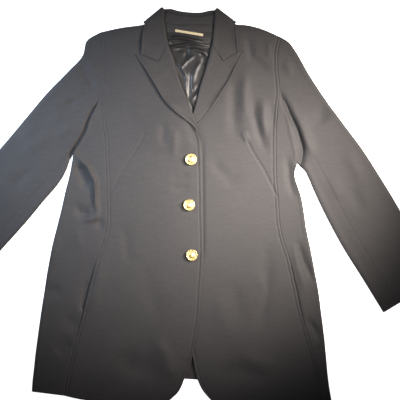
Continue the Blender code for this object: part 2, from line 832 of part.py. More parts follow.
def button(number, centre, collection):
    """A domed metal button: a turned profile, with a rim and a plain dome, on its shank."""
    half = BUTTON_WIDTH / 2
    shank = SHANK_WIDTH / 2
    foot = front_level("right", *centre) + GAP
    profile = (
        (0.0, SHANK_HEIGHT + BUTTON_DOME),
        (half * 0.36, SHANK_HEIGHT + BUTTON_DOME * 0.94),
        (half * 0.66, SHANK_HEIGHT + BUTTON_DOME * 0.72),
        (half * 0.72, SHANK_HEIGHT + BUTTON_DOME * 0.60),
        (half * 0.82, SHANK_HEIGHT + BUTTON_DOME * 0.70),
        (half * 0.94, SHANK_HEIGHT + BUTTON_DOME * 0.58),
        (half, SHANK_HEIGHT + BUTTON_DOME * 0.34),
        (half * 0.92, SHANK_HEIGHT + BUTTON_DOME * 0.10),
        (shank, SHANK_HEIGHT),
        (shank, 0.0),
        (0.0, 0.0),
    )
    mesh = bpy.data.meshes.new(f"button_{number}")
    points = [(r * MM, 0, h * MM) for r, h in profile]
    mesh.from_pydata(points, [(k, k + 1) for k in range(len(points) - 1)], [])
    mesh.materials.append(finish("gilt"))
    part = bpy.data.objects.new(f"button_{number}", mesh)
    part.location = (centre[0] * MM, centre[1] * MM, foot * MM)
    collection.objects.link(part)
    turn = part.modifiers.new("turned", "SCREW")
    turn.steps = turn.render_steps = 20
    turn.use_merge_vertices = True
    turn.merge_threshold = 0.00001
    turn.use_smooth_shade = True
    return part


def main():
    for thing in list(bpy.data.objects):
        bpy.data.objects.remove(thing, do_unlink=True)
    collection = bpy.data.collections.new("blazer")
    bpy.context.scene.collection.children.link(collection)
    back(collection)
    for side in ("right", "left"):
        front(side, collection)
        side_panel(side, collection)
        for piece in ("top", "under"):
            sleeve_piece(side, piece, collection)
        lapel(side, collection)
        pocket(side, collection)
    collar_fall(collection)
    collar_stand(collection)
    back_neck_facing(collection)
    back_lining(collection)
    neck_label(collection)
    for number, centre in enumerate(BUTTONS, 1):
        button(number, centre, collection)


main()
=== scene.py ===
# %% [markdown]
# # A woman's long blazer, laid flat on its back
#
# A tailored blazer is a set of flat panels that seams and darts have shaped: a back, two fronts,
# two side panels, two-piece sleeves, and lapels and a collar that are turned out over the fronts.
# Buttoned up and laid down, the fronts lie on the back, the sleeves fall flat beside them, and the
# eye reads it by its seams, its rolled edges and its creases.
#
# The frame holds a plain solid for each piece. Here each piece is made again as fine cloth that
# lies in the same place, then gets its seams, stitches and creases.

# %% Load the frame
import math

import bmesh
import bpy
import numpy as np
from mathutils import Matrix, Vector


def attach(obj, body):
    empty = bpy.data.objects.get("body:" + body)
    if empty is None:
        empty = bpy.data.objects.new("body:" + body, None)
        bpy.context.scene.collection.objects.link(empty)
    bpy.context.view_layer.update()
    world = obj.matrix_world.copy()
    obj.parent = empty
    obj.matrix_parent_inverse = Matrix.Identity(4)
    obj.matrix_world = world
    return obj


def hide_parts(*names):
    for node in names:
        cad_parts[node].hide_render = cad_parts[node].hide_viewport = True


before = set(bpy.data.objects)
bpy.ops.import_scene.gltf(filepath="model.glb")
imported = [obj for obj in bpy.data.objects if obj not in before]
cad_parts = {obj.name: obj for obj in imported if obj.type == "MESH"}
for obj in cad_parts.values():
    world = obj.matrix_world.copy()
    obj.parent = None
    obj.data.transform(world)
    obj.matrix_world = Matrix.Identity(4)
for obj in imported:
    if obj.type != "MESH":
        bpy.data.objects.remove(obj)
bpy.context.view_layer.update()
MM = 0.001
print("nodes in the frame:", len(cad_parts))


def new_piece(name, shape):
    """Make a finished bmesh a smooth object in the scene."""
    mesh = bpy.data.meshes.new(name)
    shape.to_mesh(mesh)
    shape.free()
    mesh.shade_smooth()
    piece = bpy.data.objects.new(name, mesh)
    bpy.context.collection.objects.link(piece)
    return piece


# %% [markdown]
# The cut is kept in millimetres, as on a paper pattern: +Y runs towards the collar, +Z up from the
# surface, and right and left are the wearer's. Everything that lies on something else is one LAYER
# higher: a cloth wall and the hair of air that keeps two cloths apart.

# %% Layers
WALL = 2.4
GAP = 0.3
LAYER = WALL + GAP
FRONT_UNDER = 2 * LAYER
FRONT_TOP = FRONT_UNDER + WALL
EDGE_RADIUS = FRONT_TOP / 2
LEAF_TOP = FRONT_TOP + LAYER
ROLL_RADIUS = (WALL + LAYER) / 2
ROLL_RETURN = 5.0
SEAM = 0.1
ARMHOLE_SEAM = 0.05
BACK_SEAM = 0.3
SIDE_LAP = 30.0
SHOULDER_LAP = 10.0
ARC_STEPS = 4
ROLL_STEPS = 3
SIDES = ("right", "left")
OUTWARD = {"right": -1, "left": 1}
print("one layer:", LAYER, "mm, and the top of a front:", FRONT_TOP, "mm")

# %% [markdown]
# Three small tools do most of the shaping. `smooth` eases from 0 to 1, `ramp` spreads that ease
# between two places, and `toward` gives a direction. They take single numbers or whole arrays.

# %% Easing and directions
def mix(a, b, t):
    return a + (b - a) * t


def smooth(t):
    t = np.clip(t, 0.0, 1.0)
    return t * t * (3 - 2 * t)


def ramp(value, start, end):
    """A smooth rise from 0 to 1 between two values."""
    return smooth((value - start) / (end - start))


def toward(start, end):
    """The unit vector from one point to another."""
    length = math.hypot(end[0] - start[0], end[1] - start[1])
    return (end[0] - start[0]) / length, (end[1] - start[1]) / length


def moved(point, run, distance):
    """A point moved some way along a direction."""
    return point[0] + run[0] * distance, point[1] + run[1] * distance


def mixed(start, end, t):
    """The point at t, from 0 to 1, of a straight line."""
    return mix(start[0], end[0], t), mix(start[1], end[1], t)


def between(points, t):
    """The point at t, from 0 to 1, of a smooth curve through the points."""
    spot = min(max(t, 0.0), 1.0) * (len(points) - 1)
    k = min(int(spot), len(points) - 2)
    f = spot - k
    p1 = points[k]
    p2 = points[k + 1]
    p0 = points[k - 1] if k else [2 * a - b for a, b in zip(p1, p2)]
    p3 = points[k + 2] if k + 2 < len(points) else [2 * b - a for a, b in zip(p1, p2)]
    return [
        b + 0.5 * f * (c - a + f * (2 * a - 5 * b + 4 * c - d + f * (3 * (b - c) + d - a)))
        for a, b, c, d in zip(p0, p1, p2, p3)
    ]


print("half way of an eased step:", float(smooth(0.5)))

# %% [markdown]
# The seam lines come first, because neighbours share them. An armhole is the line that the front,
# the side panel, the back and the sleeve are all sewn to.

# %% Armholes and shoulders
# Armhole seams from the shoulder to the underarm: x, y
ARMHOLE = {
    "right": (
        (-219, 370), (-215, 339), (-213, 304), (-214, 275), (-218, 242), (-222, 221),
        (-233, 195), (-244, 171), (-250, 152), (-263, 128), (-279, 103),
    ),
    "left": (
        (178, 359), (172, 334), (170, 310), (170.5, 285), (172.5, 266), (175, 246),
        (182, 220), (195, 188), (213, 152), (223, 114), (215, 80),
    ),
}
SIDE_START = 5
SLEEVE_FRONT_SEAM = 8
SLEEVE_BACK_SEAM = 2
UNDERARM = 10
# The shoulder's outline from the armhole to the neck: x, y
SHOULDER = {
    "right": ((-219, 370), (-172, 380), (-127, 386), (-107, 396)),
    "left": ((178, 359), (136, 377), (104, 385), (80, 387), (62, 396)),
}
print("points on each armhole:", len(ARMHOLE["right"]))

# %% [markdown]
# Cloth that lies on other cloth is lifted by it. The back rises at the neck, where the collar's
# fall is folded under it, and the right front rises where it laps over the left one.

# %% Room for what lies underneath
# Where the back is raised for the collar's fall under it: each is where the rise starts and ends
COLLAR_ROOM_FOOT = (338, 366)
COLLAR_ROOM_RIGHT = (-168, -132)
COLLAR_ROOM_LEFT = (124, 86)
# Where the right front is raised for the left one, in from its seam and down, and for its lapel
LAP_INWARD = (-165, -48)
LAP_TOP = (246, 204)
LEAF_LAP_TOP = (236, 204)
LEAF_LAP_FOOT = (100, 132)


def collar_room(x, y):
    """How far the back is raised where the collar's fall lies under it."""
    across = ramp(x, *COLLAR_ROOM_RIGHT) * ramp(x, *COLLAR_ROOM_LEFT)
    return LAYER * ramp(y, *COLLAR_ROOM_FOOT) * across


def overlap_room(x, y):
    """How far the right front is raised where it lies on the left one and on its lapel."""
    on_lapel = ramp(y, *LEAF_LAP_TOP) * ramp(y, *LEAF_LAP_FOOT)
    return LAYER * ramp(x, *LAP_INWARD) * (ramp(y, *LAP_TOP) + on_lapel)


print("the right front's rise at the lap:", float(overlap_room(0, 0)), "mm")

# %% [markdown]
# Creases make cloth look like cloth. One crease is a line that the eye can follow, with a width, a
# height that is negative for a trough, and ends that fade into the flat. Never quite alike, they
# say where the cloth is pulled: from the underarm, into the darts, round the pockets. The largest
# of them are the folds of the frame's own solids.

# %% Creases of the outer cloth
CREASES = (
    # Pulled round the right side panel, below the underarm
    (((-286, 114), (-272, 99), (-249, 75), (-231, 42), (-230, -4), (-224, -32), (-229, -48)), 5, 8.8),
    (((-276, 83), (-259, 55), (-249, 18)), 8, -7.7),
    (((-276, -22), (-259, -32), (-238, -30)), 6, -4.8),
    (((-282, -9), (-260, -22), (-238, -22)), 10, -3.2),
    (((-222, -24), (-231, -40), (-259, -46)), 5, 5),
    (((-219, -40), (-221, -70)), 8, -3.2),
    (((-321, -66), (-326, -145)), 14, 1.9),
    (((-272, -57), (-264, -110)), 9, 1.4),
    (((-348, -202), (-301, -198)), 15, -2.2),
    (((-304, -255), (-262, -286)), 15, -1.9),
    (((-321, -337), (-279, -310)), 15, -2.1),
    # The right side panel falls away from the open pocket
    (((-227, -110), (-238, -145), (-251, -189), (-264, -251)), 14, -2.2),
    # Right front
    (((-84, 176), (-80, 154), (-83, 114)), 8.8, -2.1),
    (((-59, 163), (-56, 128), (-59, 88)), 8.8, 2.1),
    (((-33, 176), (-13, 145), (-7, 110)), 10, -2.1),
    (((-70, 48), (-46, 51), (-18, 57)), 7.5, -1.4),
    (((-70, 26), (-46, 25), (-18, 29)), 7.5, -1.4),
    (((-180, -53), (-163, -79), (-158, -145)), 10, -1.4),
    (((-222, -101), (-227, -176), (-238, -268)), 15, 2.1),
    (((-128, -136), (-110, -198), (-84, -277)), 17.5, -1.1),
    (((-106, -290), (-75, -343), (-57, -409)), 16.2, 2.9),
    (((-189, -343), (-136, -370), (-79, -374)), 25, -3.8),
    (((-194, 229), (-145, 220), (-114, 185)), 22.5, 1.9),
    # Left front, hanging from the shoulder
    (((75, 282), (74, 189), (82, 123)), 13.2, -3.6),
    (((99, 295), (97, 216), (101, 172)), 10.8, 3.4),
    (((121, 238), (119, 189), (132, 141), (150, 97)), 9, -4.1),
    (((139, 229), (139, 172), (146, 132)), 8.4, 3.4),
    (((157, 220), (161, 150)), 7.2, -1.9),
    (((93, 156), (106, 124)), 6, 2.9),
    (((24, 106), (42, 66), (66, 44), (103, 57)), 12, -1.6),
    (((152, -84), (145, -176), (132, -308)), 15.6, -2.9),
    (((132, -154), (139, -202), (123, -251)), 9.6, 1.6),
    (((66, -167), (84, -233), (97, -286)), 15.6, -1.3),
    (((35, -198), (48, -255), (66, -312)), 15.6, 1.1),
    (((22, -392), (88, -374), (176, -392)), 21.6, -2.9),
    (((84, -339), (128, -365), (172, -374)), 19.2, 2.2),
    # Left side panel
    (((191, 106), (198, 35), (211, -4)), 8, -3.8),
    (((213, -81), (227, -132), (253, -189)), 8, -4.3),
    (((203, -88), (216, -154), (235, -211)), 7, 1.9),
    (((235, -257), (266, -310)), 8, -3.8),
    # Sleeves
    (((-317, 193), (-290, 205), (-271, 218)), 8, -3),
    (((-321, 141), (-293, 152), (-279, 176)), 12, 2.2),
    (((-400, 97), (-348, 132), (-317, 158)), 16, 1.9),
    (((-427, 128), (-392, 167)), 14, -1.9),
    (((209, 211), (229, 163), (253, 88)), 11, 3.5),
    (((260, 200), (265, 161)), 12, -2.2),
    (((286, 57), (312, -4)), 14, 1.9),
    (((330, 35), (365, -40)), 14, -1.9),
    # The largest folds of the solids that reach past the photo
    (((-455, 50), (-405, -20)), 16, 1.3),
    (((372, 20), (345, -60)), 15, 1.2),
    # Round the sleeve heads and the shoulders, read from higher up
    (((-271, 295), (-249, 271), (-227, 246)), 7, -4.5),
    (((-255, 317), (-235, 295), (-220, 268)), 7, 2.2),
    (((-229, 244), (-260, 224), (-308, 202)), 5, -2.6),
    (((-334, 172), (-304, 185), (-277, 207)), 11, 2.2),
    (((103, 367), (114, 312), (163, 277)), 9, -3.2),
    (((150, 352), (152, 308)), 6, 1.4),
    (((185, 308), (202, 273)), 8, 2.1),
    (((260, 211), (282, 172)), 12, -2.1),
    (((319, 110), (363, 33)), 13, 1.9),
    (((-396, 132), (-352, 176)), 12, 1.8),
    (((-418, 22), (-363, 77)), 12, -1.9),
)


CREASE_FADE = 0.35


def crease(x, y, line, half, lift, fade):
    """How far one crease moves a surface at each point: a soft ridge, or a trough, along a line."""
    spans = [math.dist(a, b) for a, b in zip(line, line[1:])]
    nearest = np.full(np.shape(x), np.inf)
    along = np.zeros(np.shape(x))
    done = 0.0
    for (x0, y0), (x1, y1), span in zip(line, line[1:], spans):
        t = np.clip(((x - x0) * (x1 - x0) + (y - y0) * (y1 - y0)) / span ** 2, 0.0, 1.0)
        away = np.hypot(x - mix(x0, x1, t), y - mix(y0, y1, t))
        closer = away < nearest
        nearest = np.where(closer, away, nearest)
        along = np.where(closer, (done + t * span) / sum(spans), along)
        done += span
    ends = smooth(along / fade) * smooth((1 - along) / fade)
    return lift * ends * np.exp(-((nearest / half) ** 2))


def creased(x, y, creases, fade=CREASE_FADE):
    """The height of all the creases together."""
    return sum((crease(x, y, *one, fade) for one in creases), np.zeros(np.shape(x)))


DARTS = (
    (((-118, 151), (-141, 110), (-169, 68), (-203, 4)), 1.7, -1.6),
    (((94, 154), (114, 110), (141, 66), (172, 4)), 1.7, -1.8),
)
DART_FADE = 0.06
UNDERARM_FADE = 0.2
print("creases:", len(CREASES), "darts:", len(DARTS))

# %% [markdown]
# A piece of cloth starts as the same coarse grid of points as its solid, each with its outer side
# and its wall. `refined` runs smooth curves through those points, so the grid can be made as fine
# as the cloth needs without leaving the seams. Its marks say where new points go in each stretch:
# close together beside a rolled edge, and evenly over the rest.

# %% A fine surface through a coarse grid
def even(count):
    """Marks that cut one stretch into equal steps."""
    return [(k + 1) / count for k in range(count)]


def closing(count, share=0.25):
    """Marks that crowd towards the end of a stretch, where an edge or a seam is."""
    return [1 - (1 - t) * mix(share, 1, 1 - t) for t in even(count)]


def opening(count, share=0.25):
    """Marks that crowd towards the start of a stretch."""
    return [1 - t for t in reversed(closing(count, share)[:-1])] + [1.0]


LEAST_SPAN = 0.1


def refined(points, marks, axis, corners=()):
    """The points of smooth curves through a grid's points, along one of its directions."""
    p = np.moveaxis(points, axis, 0)
    length = np.linalg.norm(np.diff(p, axis=0), axis=-1, keepdims=True).clip(LEAST_SPAN)
    slope = np.diff(p, axis=0) / length
    tangent = np.concatenate([slope[:1], slope])
    tangent[1:-1] = slope[:-1] * length[1:] + slope[1:] * length[:-1]
    tangent[1:-1] /= length[1:] + length[:-1]
    leaving, arriving = tangent[:-1].copy(), tangent[1:].copy()
    for k in corners:
        leaving[k] = slope[k]
        arriving[k - 1] = slope[k - 1]
    found = [p[:1]]
    for k, stretch in enumerate(marks):
        t = np.array(stretch)[:, None, None]
        ease = t * t * (3 - 2 * t)
        start = p[k] + (t ** 3 - 2 * t ** 2 + t) * length[k] * leaving[k]
        found.append(start + ease * (p[k + 1] - p[k]) + (t ** 3 - t ** 2) * length[k] * arriving[k])
    return np.moveaxis(np.concatenate(found), 0, axis)


def distances(points, axis):
    """How far each point is from the first and from the last point of its line."""
    spans = np.linalg.norm(np.diff(points, axis=axis), axis=-1)
    start = np.insert(np.cumsum(spans, axis=axis), 0, 0.0, axis=axis)
    return start, start.take([-1], axis=axis) - start


# %% [markdown]
# Where two pieces are sewn together, both roll down into the seam, so it reads as a soft groove.
# A finished edge, such as a lapel's, is turned over its own thickness: it is round, it puffs a
# little, and the row of stitches a few millimetres in from it pulls the cloth down again.

# %% Seams and finished edges
SEAM_DROP = {"seam": 0.7, "faint": 0.2, "lapped": 0.6}
SEAM_RUN = 1.4
PUFF = 0.22
STITCH_INSET = 6.5
STITCH_DROP = 0.85
STITCH_RUN = 1.6
EDGE_TURN = 0.97
MOST_RAISED = 1.0
# The inner end of a gorge hardly shows: its least share, and where the rest fades in from the roll
GORGE_LEAST = 0.15
GORGE_FADE = (34, 46)


def pulled_by_stitches(away):
    """How far a row of stitches pulls the cloth down, less the puff between it and the edge."""
    pulled = STITCH_DROP * np.exp(-(((away - STITCH_INSET) / STITCH_RUN) ** 2))
    return pulled - PUFF * ramp(away, 0, STITCH_INSET / 3) * ramp(away, STITCH_INSET, STITCH_INSET / 2)


def seam_profile(away, kind):
    """How far the outer and the inner side drop into a seam; only the outer side does."""
    drop = SEAM_DROP[kind] * np.exp(-((away / SEAM_RUN) ** 2))
    if kind == "lapped":
        drop = drop + pulled_by_stitches(away)
    return drop, 0.0


def edge_profile(away, half):
    """How far the outer and the inner side of a finished edge are rolled towards each other."""
    t = np.clip(1 - away / half, 0.0, 1.0)
    turn = EDGE_TURN * half * (1 - np.sqrt(1 - t * t))
    return turn, turn


def stitched_profile(away, half):
    """A finished edge with its row of stitches, between a puffed rim and the flat cloth."""
    turn = edge_profile(away, half)[0]
    return turn + pulled_by_stitches(away), turn


print("stitches run", STITCH_INSET, "mm in from a finished edge")

# %% [markdown]
# `cloth` builds one piece. Blender's grid operator makes the sheet of faces and an extrusion makes
# its inner side and its rim, so the wall is closed. Then every point goes to its place, already
# rolled and creased. The UV map is the cloth laid flat, in metres along its grain, for the weave.

# %% Building a piece of cloth
surfaces = {}
SHARP_ANGLE = 55


def relief(surface, edges, thickness):
    """Roll the borders of a fine surface; edges names the profile of each border that has one."""
    left, right = distances(surface, 1)
    top, foot = distances(surface, 0)
    outer, inner = np.zeros(left.shape), np.zeros(left.shape)
    for border, away in (("left", left), ("right", right), ("top", top), ("foot", foot)):
        kind = edges.get(border)
        share = 1.0
        if kind == "gorge":
            kind, share = "edge", mix(GORGE_LEAST, 1.0, ramp(left, *GORGE_FADE))
        if kind in SEAM_DROP:
            change = seam_profile(away, kind)
        elif kind == "edge":
            change = edge_profile(away, thickness / 2)
        elif kind == "stitched":
            change = stitched_profile(away, thickness / 2)
        else:
            continue
        outer = outer + share * change[0]
        inner = inner + share * change[1]
    return np.clip(outer, -MOST_RAISED, None), inner


def cloth(
    name, columns, rows, place, marks, edges,
    grain=0.0, thickness=WALL, lift=None, corners=((), ()),
):
    """A closed wall of fine cloth through the points place(column, row, depth)."""
    coarse = np.array([
        [tuple(place(i, j, 0)) + tuple(place(i, j, 1)) for i in range(columns + 1)]
        for j in range(rows + 1)
    ], dtype=float)
    coarse[..., 3:] -= coarse[..., :3]
    fine = refined(refined(coarse, marks[0], 1, corners[0]), marks[1], 0, corners[1])
    surface, wall = fine[..., :3], fine[..., 3:]
    inward = wall / np.linalg.norm(wall, axis=-1, keepdims=True)
    outer_roll, inner_roll = relief(surface, edges, thickness)
    outside = surface + inward * outer_roll[..., None]
    inside = surface + wall - inward * inner_roll[..., None]
    if lift is not None:
        risen = lift(surface[..., 0], surface[..., 1], surface[..., 2])
        outside[..., 2] += risen
        inside[..., 2] += risen
    for layer in (outside, inside):
        layer[..., 2] = np.clip(layer[..., 2], 0, None)
    across, down = surface.shape[1] - 1, surface.shape[0] - 1

    shape = bmesh.new()
    bmesh.ops.create_grid(shape, x_segments=across, y_segments=down, size=0.5)
    doubled = bmesh.ops.extrude_face_region(shape, geom=shape.faces[:], use_keep_orig=True)
    copied = [item for item in doubled["geom"] if isinstance(item, bmesh.types.BMVert)]
    bmesh.ops.translate(shape, verts=copied, vec=(0, 0, -1))
    bmesh.ops.recalc_face_normals(shape, faces=shape.faces)
    piece = new_piece(name, shape)
    mesh = piece.data

    spots = np.empty(len(mesh.vertices) * 3)
    mesh.vertices.foreach_get("co", spots)
    spots = spots.reshape(-1, 3)
    i = np.rint((spots[:, 0] + 0.5) * across).astype(int)
    j = np.rint((spots[:, 1] + 0.5) * down).astype(int)
    under = (spots[:, 2] < -0.5)[:, None]
    placed = np.where(under, inside[j, i], outside[j, i]) * MM
    mesh.vertices.foreach_set("co", placed.ravel())
    corners_of = np.empty(len(mesh.loops), dtype=np.int32)
    mesh.loops.foreach_get("vertex_index", corners_of)
    turn, (x, y) = math.radians(grain), placed[corners_of, :2].T
    along_grain = x * math.cos(turn) + y * math.sin(turn)
    across_grain = y * math.cos(turn) - x * math.sin(turn)
    flat = np.stack([along_grain, across_grain], 1)
    mesh.uv_layers.new(name="cloth").data.foreach_set("uv", flat.ravel())
    mesh.update()
    measured = bmesh.new()
    measured.from_mesh(mesh)
    if measured.calc_volume(signed=True) < 0:
        mesh.flip_normals()
    measured.free()
    mesh.set_sharp_from_angle(angle=math.radians(SHARP_ANGLE))
    surfaces[name] = outside
    return piece


# The cut is read off the finished surface: the length that this share of its rows stay under
CUT_SHARE = 85
SMALLEST_CUT = 10.0


def cut_of(surface):
    """The width and length of most of a piece laid flat, and its area, in metres."""
    first = np.diff(surface, axis=1)[:-1]
    second = np.diff(surface, axis=0)[:, :-1]
    area = np.linalg.norm(np.cross(first, second), axis=-1).sum()
    width = np.percentile(distances(surface, 1)[0][:, -1], CUT_SHARE)
    length = np.percentile(distances(surface, 0)[0][-1], CUT_SHARE)
    width, length = max(width, SMALLEST_CUT), max(length, SMALLEST_CUT, area / width)
    return width * MM, length * MM, area * MM * MM


def dressed(piece, node):
    """Put a piece of cloth in the place of its solid, and state its cut."""
    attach(piece, "root")
    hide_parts(node)
    width, length, area = cut_of(surfaces[piece.name])
    shown = min(area, width * length)
    faces = len(piece.data.polygons)
    print(f"{piece.name}: cut {width:.3f} x {length:.3f} m, {area:.3f} m2, {faces} faces")


# %% [markdown]
# A front runs from its seam behind the shoulder, over the top, down to the curved hem. Its outer
# border is sewn to the sleeve and to the side panel, and its inner border is a finished edge.

# %% Fronts
# The front below the shoulder, a row for each section: outer seam x, y, inner edge x, y
FRONT = {
    "right": (
        (-215, 339, -89, 353),
        (-213, 304, -72, 322),
        (-214, 275, -62, 288),
        (-218, 242, -51, 254),
        (-222, 221, -41, 228),
        (-217, 188, -27, 196),
        (-213, 157, -15, 161),
        (-210, 133, -4, 144),
        (-208, 100, 2, 104),
        (-206, 50, 4, 50),
        (-205, 0, 5, -5),
        (-205, -48, 6, -60),
        (-213, -90, 7, -105),
        (-225, -122, 6, -145),
        (-242, -180, 2, -197),
        (-256, -240, -1, -250),
        (-272, -300, -9, -303),
        (-284, -348, -19, -352),
        (-292, -388, -33, -390),
        (-297, -415, -47, -421),
        (-299, -431, -67, -441),
    ),
    "left": (
        (172, 334, 46, 356),
        (170, 310, 31, 324),
        (170.5, 285, 23, 294),
        (172.5, 266, 13, 266),
        (175, 246, 6, 240),
        (171, 205, 0, 203),
        (168, 165, -12, 171),
        (167, 135, -36, 140),
        (167, 100, -43, 100),
        (168, 50, -45, 48),
        (172, 0, -46, -5),
        (175, -48, -46, -60),
        (183, -88, -46, -105),
        (194, -120, -45, -145),
        (209, -180, -42, -197),
        (222, -240, -35, -250),
        (238, -300, -25, -303),
        (252, -348, -16, -350),
        (262, -392, -8, -388),
        (267, -425, 5, -418),
        (270, -452, 24, -441),
    ),
}
FRONT_COLUMNS = 10
HEM_DIP = {"right": 12.0, "left": 10.0}
HEM_START = 0.4
HEM_ROUND = 0.8
# In-seam pockets: how far the mouth gapes on each side, y of its top and foot, the bag
POCKET_GAPE = 1.0
POCKET_TOP = -135
POCKET_FOOT = -260
POCKET_BAG = 34.0
POCKET_WALL = 1.2
POCKET_EASE = 30.0


def pocket_mouth(y):
    """How far the seam gapes on each side at the pocket's mouth."""
    top = ramp(y, POCKET_TOP, POCKET_TOP - POCKET_EASE)
    return POCKET_GAPE * top * ramp(y, POCKET_FOOT, POCKET_FOOT + POCKET_EASE)


RUN_ON = 0.25
POCKET_RUN_ON = 0.1
POCKET_REACH = 8


def run_on(points, share=RUN_ON):
    """A seam's points and one more past them, so that a crease is still deep where the seam ends."""
    (x0, y0), (x1, y1) = points[0][:2], points[-1][:2]
    return [point[:2] for point in points] + [(x1 + (x1 - x0) * share, y1 + (y1 - y0) * share)]


def pocket_seam(side):
    """The front's seam along the pocket's mouth, run on at its foot."""
    low, high = POCKET_FOOT - POCKET_REACH, POCKET_TOP + POCKET_REACH
    return run_on([row for row in FRONT[side] if low <= row[1] <= high], POCKET_RUN_ON)


# The left front sinks a little where the right front's edge lies on it, and the right front
# stands up over its open pocket
FRONT_CREASES = {
    "left": ((((5, 150), (6, 44), (7, -66), (7, -150)), 4, -2.0),),
    "right": ((pocket_seam("right"), 9, 1.6),),
}


def top_lift(laps=False, own=()):
    """What lifts a piece of the top layer: the creases, its own ones, and the room it needs."""
    def lift(x, y, z):
        share = smooth(z / FRONT_TOP)
        room = overlap_room(x, y) if laps else 0.0
        sharp = creased(x, y, DARTS, DART_FADE) + creased(x, y, own, UNDERARM_FADE)
        return share * (creased(x, y, CREASES) + sharp + room)
    return lift


def rounded(top, bottom, radius, step, side):
    """Distance inward and height on the half turn of a flattened edge, from its top to its foot."""
    angle = math.pi * (0.5 - step / ARC_STEPS)
    reach = (top - bottom) / 2 - side * WALL
    run = radius - side * WALL
    return radius - run * math.cos(angle), (top + bottom) / 2 + reach * math.sin(angle)


def front(side):
    outward, shoulder, table = OUTWARD[side], SHOULDER[side], FRONT[side]
    first_top = ARC_STEPS + 1

    def plan(t, row):
        """The point of a row below the shoulder, t from the outer seam to the inner edge."""
        outer_x, outer_y, inner_x, inner_y = table[row]
        inset = ARMHOLE_SEAM if row < SIDE_START else SEAM + pocket_mouth(outer_y)
        y = mix(outer_y, inner_y, t)
        if row >= len(table) - 2:
            share = 1 if row == len(table) - 1 else HEM_START
            y -= share * HEM_DIP[side] * math.sin(math.pi * t) ** HEM_ROUND
        return mix(outer_x - outward * inset, inner_x, t), y

    def place(column, row, depth):
        t = column / FRONT_COLUMNS
        if row > first_top:
            x, y = plan(t, row - first_top - 1)
            return x, y, FRONT_TOP - depth * WALL
        edge = between(shoulder, t)
        edge[0] -= outward * ARMHOLE_SEAM * (1 - t)
        run = toward(edge, plan(t, 0))
        foot = float(collar_room(edge[0], edge[1]))
        inward, height = EDGE_RADIUS + SHOULDER_LAP, foot + depth * WALL
        if row:
            inward, height = rounded(FRONT_TOP, foot, EDGE_RADIUS, ARC_STEPS + 1 - row, depth)
        return *moved(edge, run, inward), height

    rows = first_top + len(table)
    across = [opening(15)] + [even(9)] * (FRONT_COLUMNS - 2) + [closing(15)]
    down = [even(3)] + [even(2)] * ARC_STEPS
    down += [even(18)] * (rows - first_top - 1) + [closing(15)]
    edges = {"left": "lapped", "right": "stitched", "foot": "edge", "top": "seam"}
    name = side + "_front_cloth"
    lift = top_lift(laps=side == "right", own=FRONT_CREASES[side])
    piece = cloth(name, FRONT_COLUMNS, rows, place, (across, down), edges, lift=lift)
    dressed(piece, side + "_front")
    return piece


fronts = {side: front(side) for side in SIDES}

# %% [markdown]
# A side panel is sewn to the front on top, wraps round the side, and meets the back underneath.
# Below the underarm it is the cloth that shows beside the front's seam.

# %% Side panels
# The side's outline from the underarm to the hem, in step with the front's rows: x, y
SIDE = {
    "right": (
        (-279, 103), (-282, 84), (-286, 62), (-290, 45), (-297, 18), (-306, -22), (-316, -62),
        (-325, -98), (-331, -128), (-336, -155), (-343, -200), (-350, -245), (-358, -302),
        (-363, -340), (-367, -378), (-370, -405), (-371, -422),
    ),
    "left": (
        (215, 80), (209, 62), (209, 48), (215, 30), (222, 10), (229, -25), (234, -62),
        (242, -100), (248, -130), (253, -157), (261, -200), (267, -247), (274, -303),
        (278, -345), (282, -388), (287, -424), (292, -451),
    ),
}
SIDE_UNDER_COLUMNS = 2
SIDE_EASING = (1.0, 0.6, 0.3, 0.1)


def side_seam(side, row):
    """The side panel's point on the front's seam, or where that seam meets the armhole."""
    x, y = FRONT[side][SIDE_START - 1 + row][:2]
    return x + OUTWARD[side] * (SEAM + pocket_mouth(y)), y


def side_point(side, row, index):
    """The point of a side panel's row that follows the armhole's point of this index."""
    armhole = ARMHOLE[side]
    t = (index - SIDE_START) / (UNDERARM - SIDE_START)
    start, end = side_seam(side, row), SIDE[side][row]
    share = SIDE_EASING[row] if row < len(SIDE_EASING) else 0.0
    first, last = armhole[SIDE_START], armhole[UNDERARM]
    x = mix(start[0], end[0], t) + share * (armhole[index][0] - mix(first[0], last[0], t))
    y = mix(start[1], end[1], t) + share * (armhole[index][1] - mix(first[1], last[1], t))
    return (x - OUTWARD[side] * ARMHOLE_SEAM if row == 0 else x), y


# Down to each underarm the cloth dips along the seam, more on one side of it than on the other
ARMHOLE_FOOT = {side: run_on(ARMHOLE[side][SIDE_START:UNDERARM + 1]) for side in SIDES}
PANEL_CREASES = {
    "right": ((pocket_seam("right"), 8, -6.0), (ARMHOLE_FOOT["right"], 6, 2.0)),
    "left": (
        (pocket_seam("left"), 5, -1.0), (ARMHOLE_FOOT["left"], 4, -4.0),
        (((183, 220), (194, 172), (207, 114), (213, 75)), 3, 1.0),
    ),
}
SLEEVE_CREASES = {
    "right": ((ARMHOLE_FOOT["right"], 6.5, -10.0),),
    "left": (
        (ARMHOLE_FOOT["left"], 6.5, -9.5), (((198, 222), (216, 172), (236, 119), (250, 90)), 7, 2.2),
        (((221, 114), (226, 75)), 7, -5.0),
    ),
}


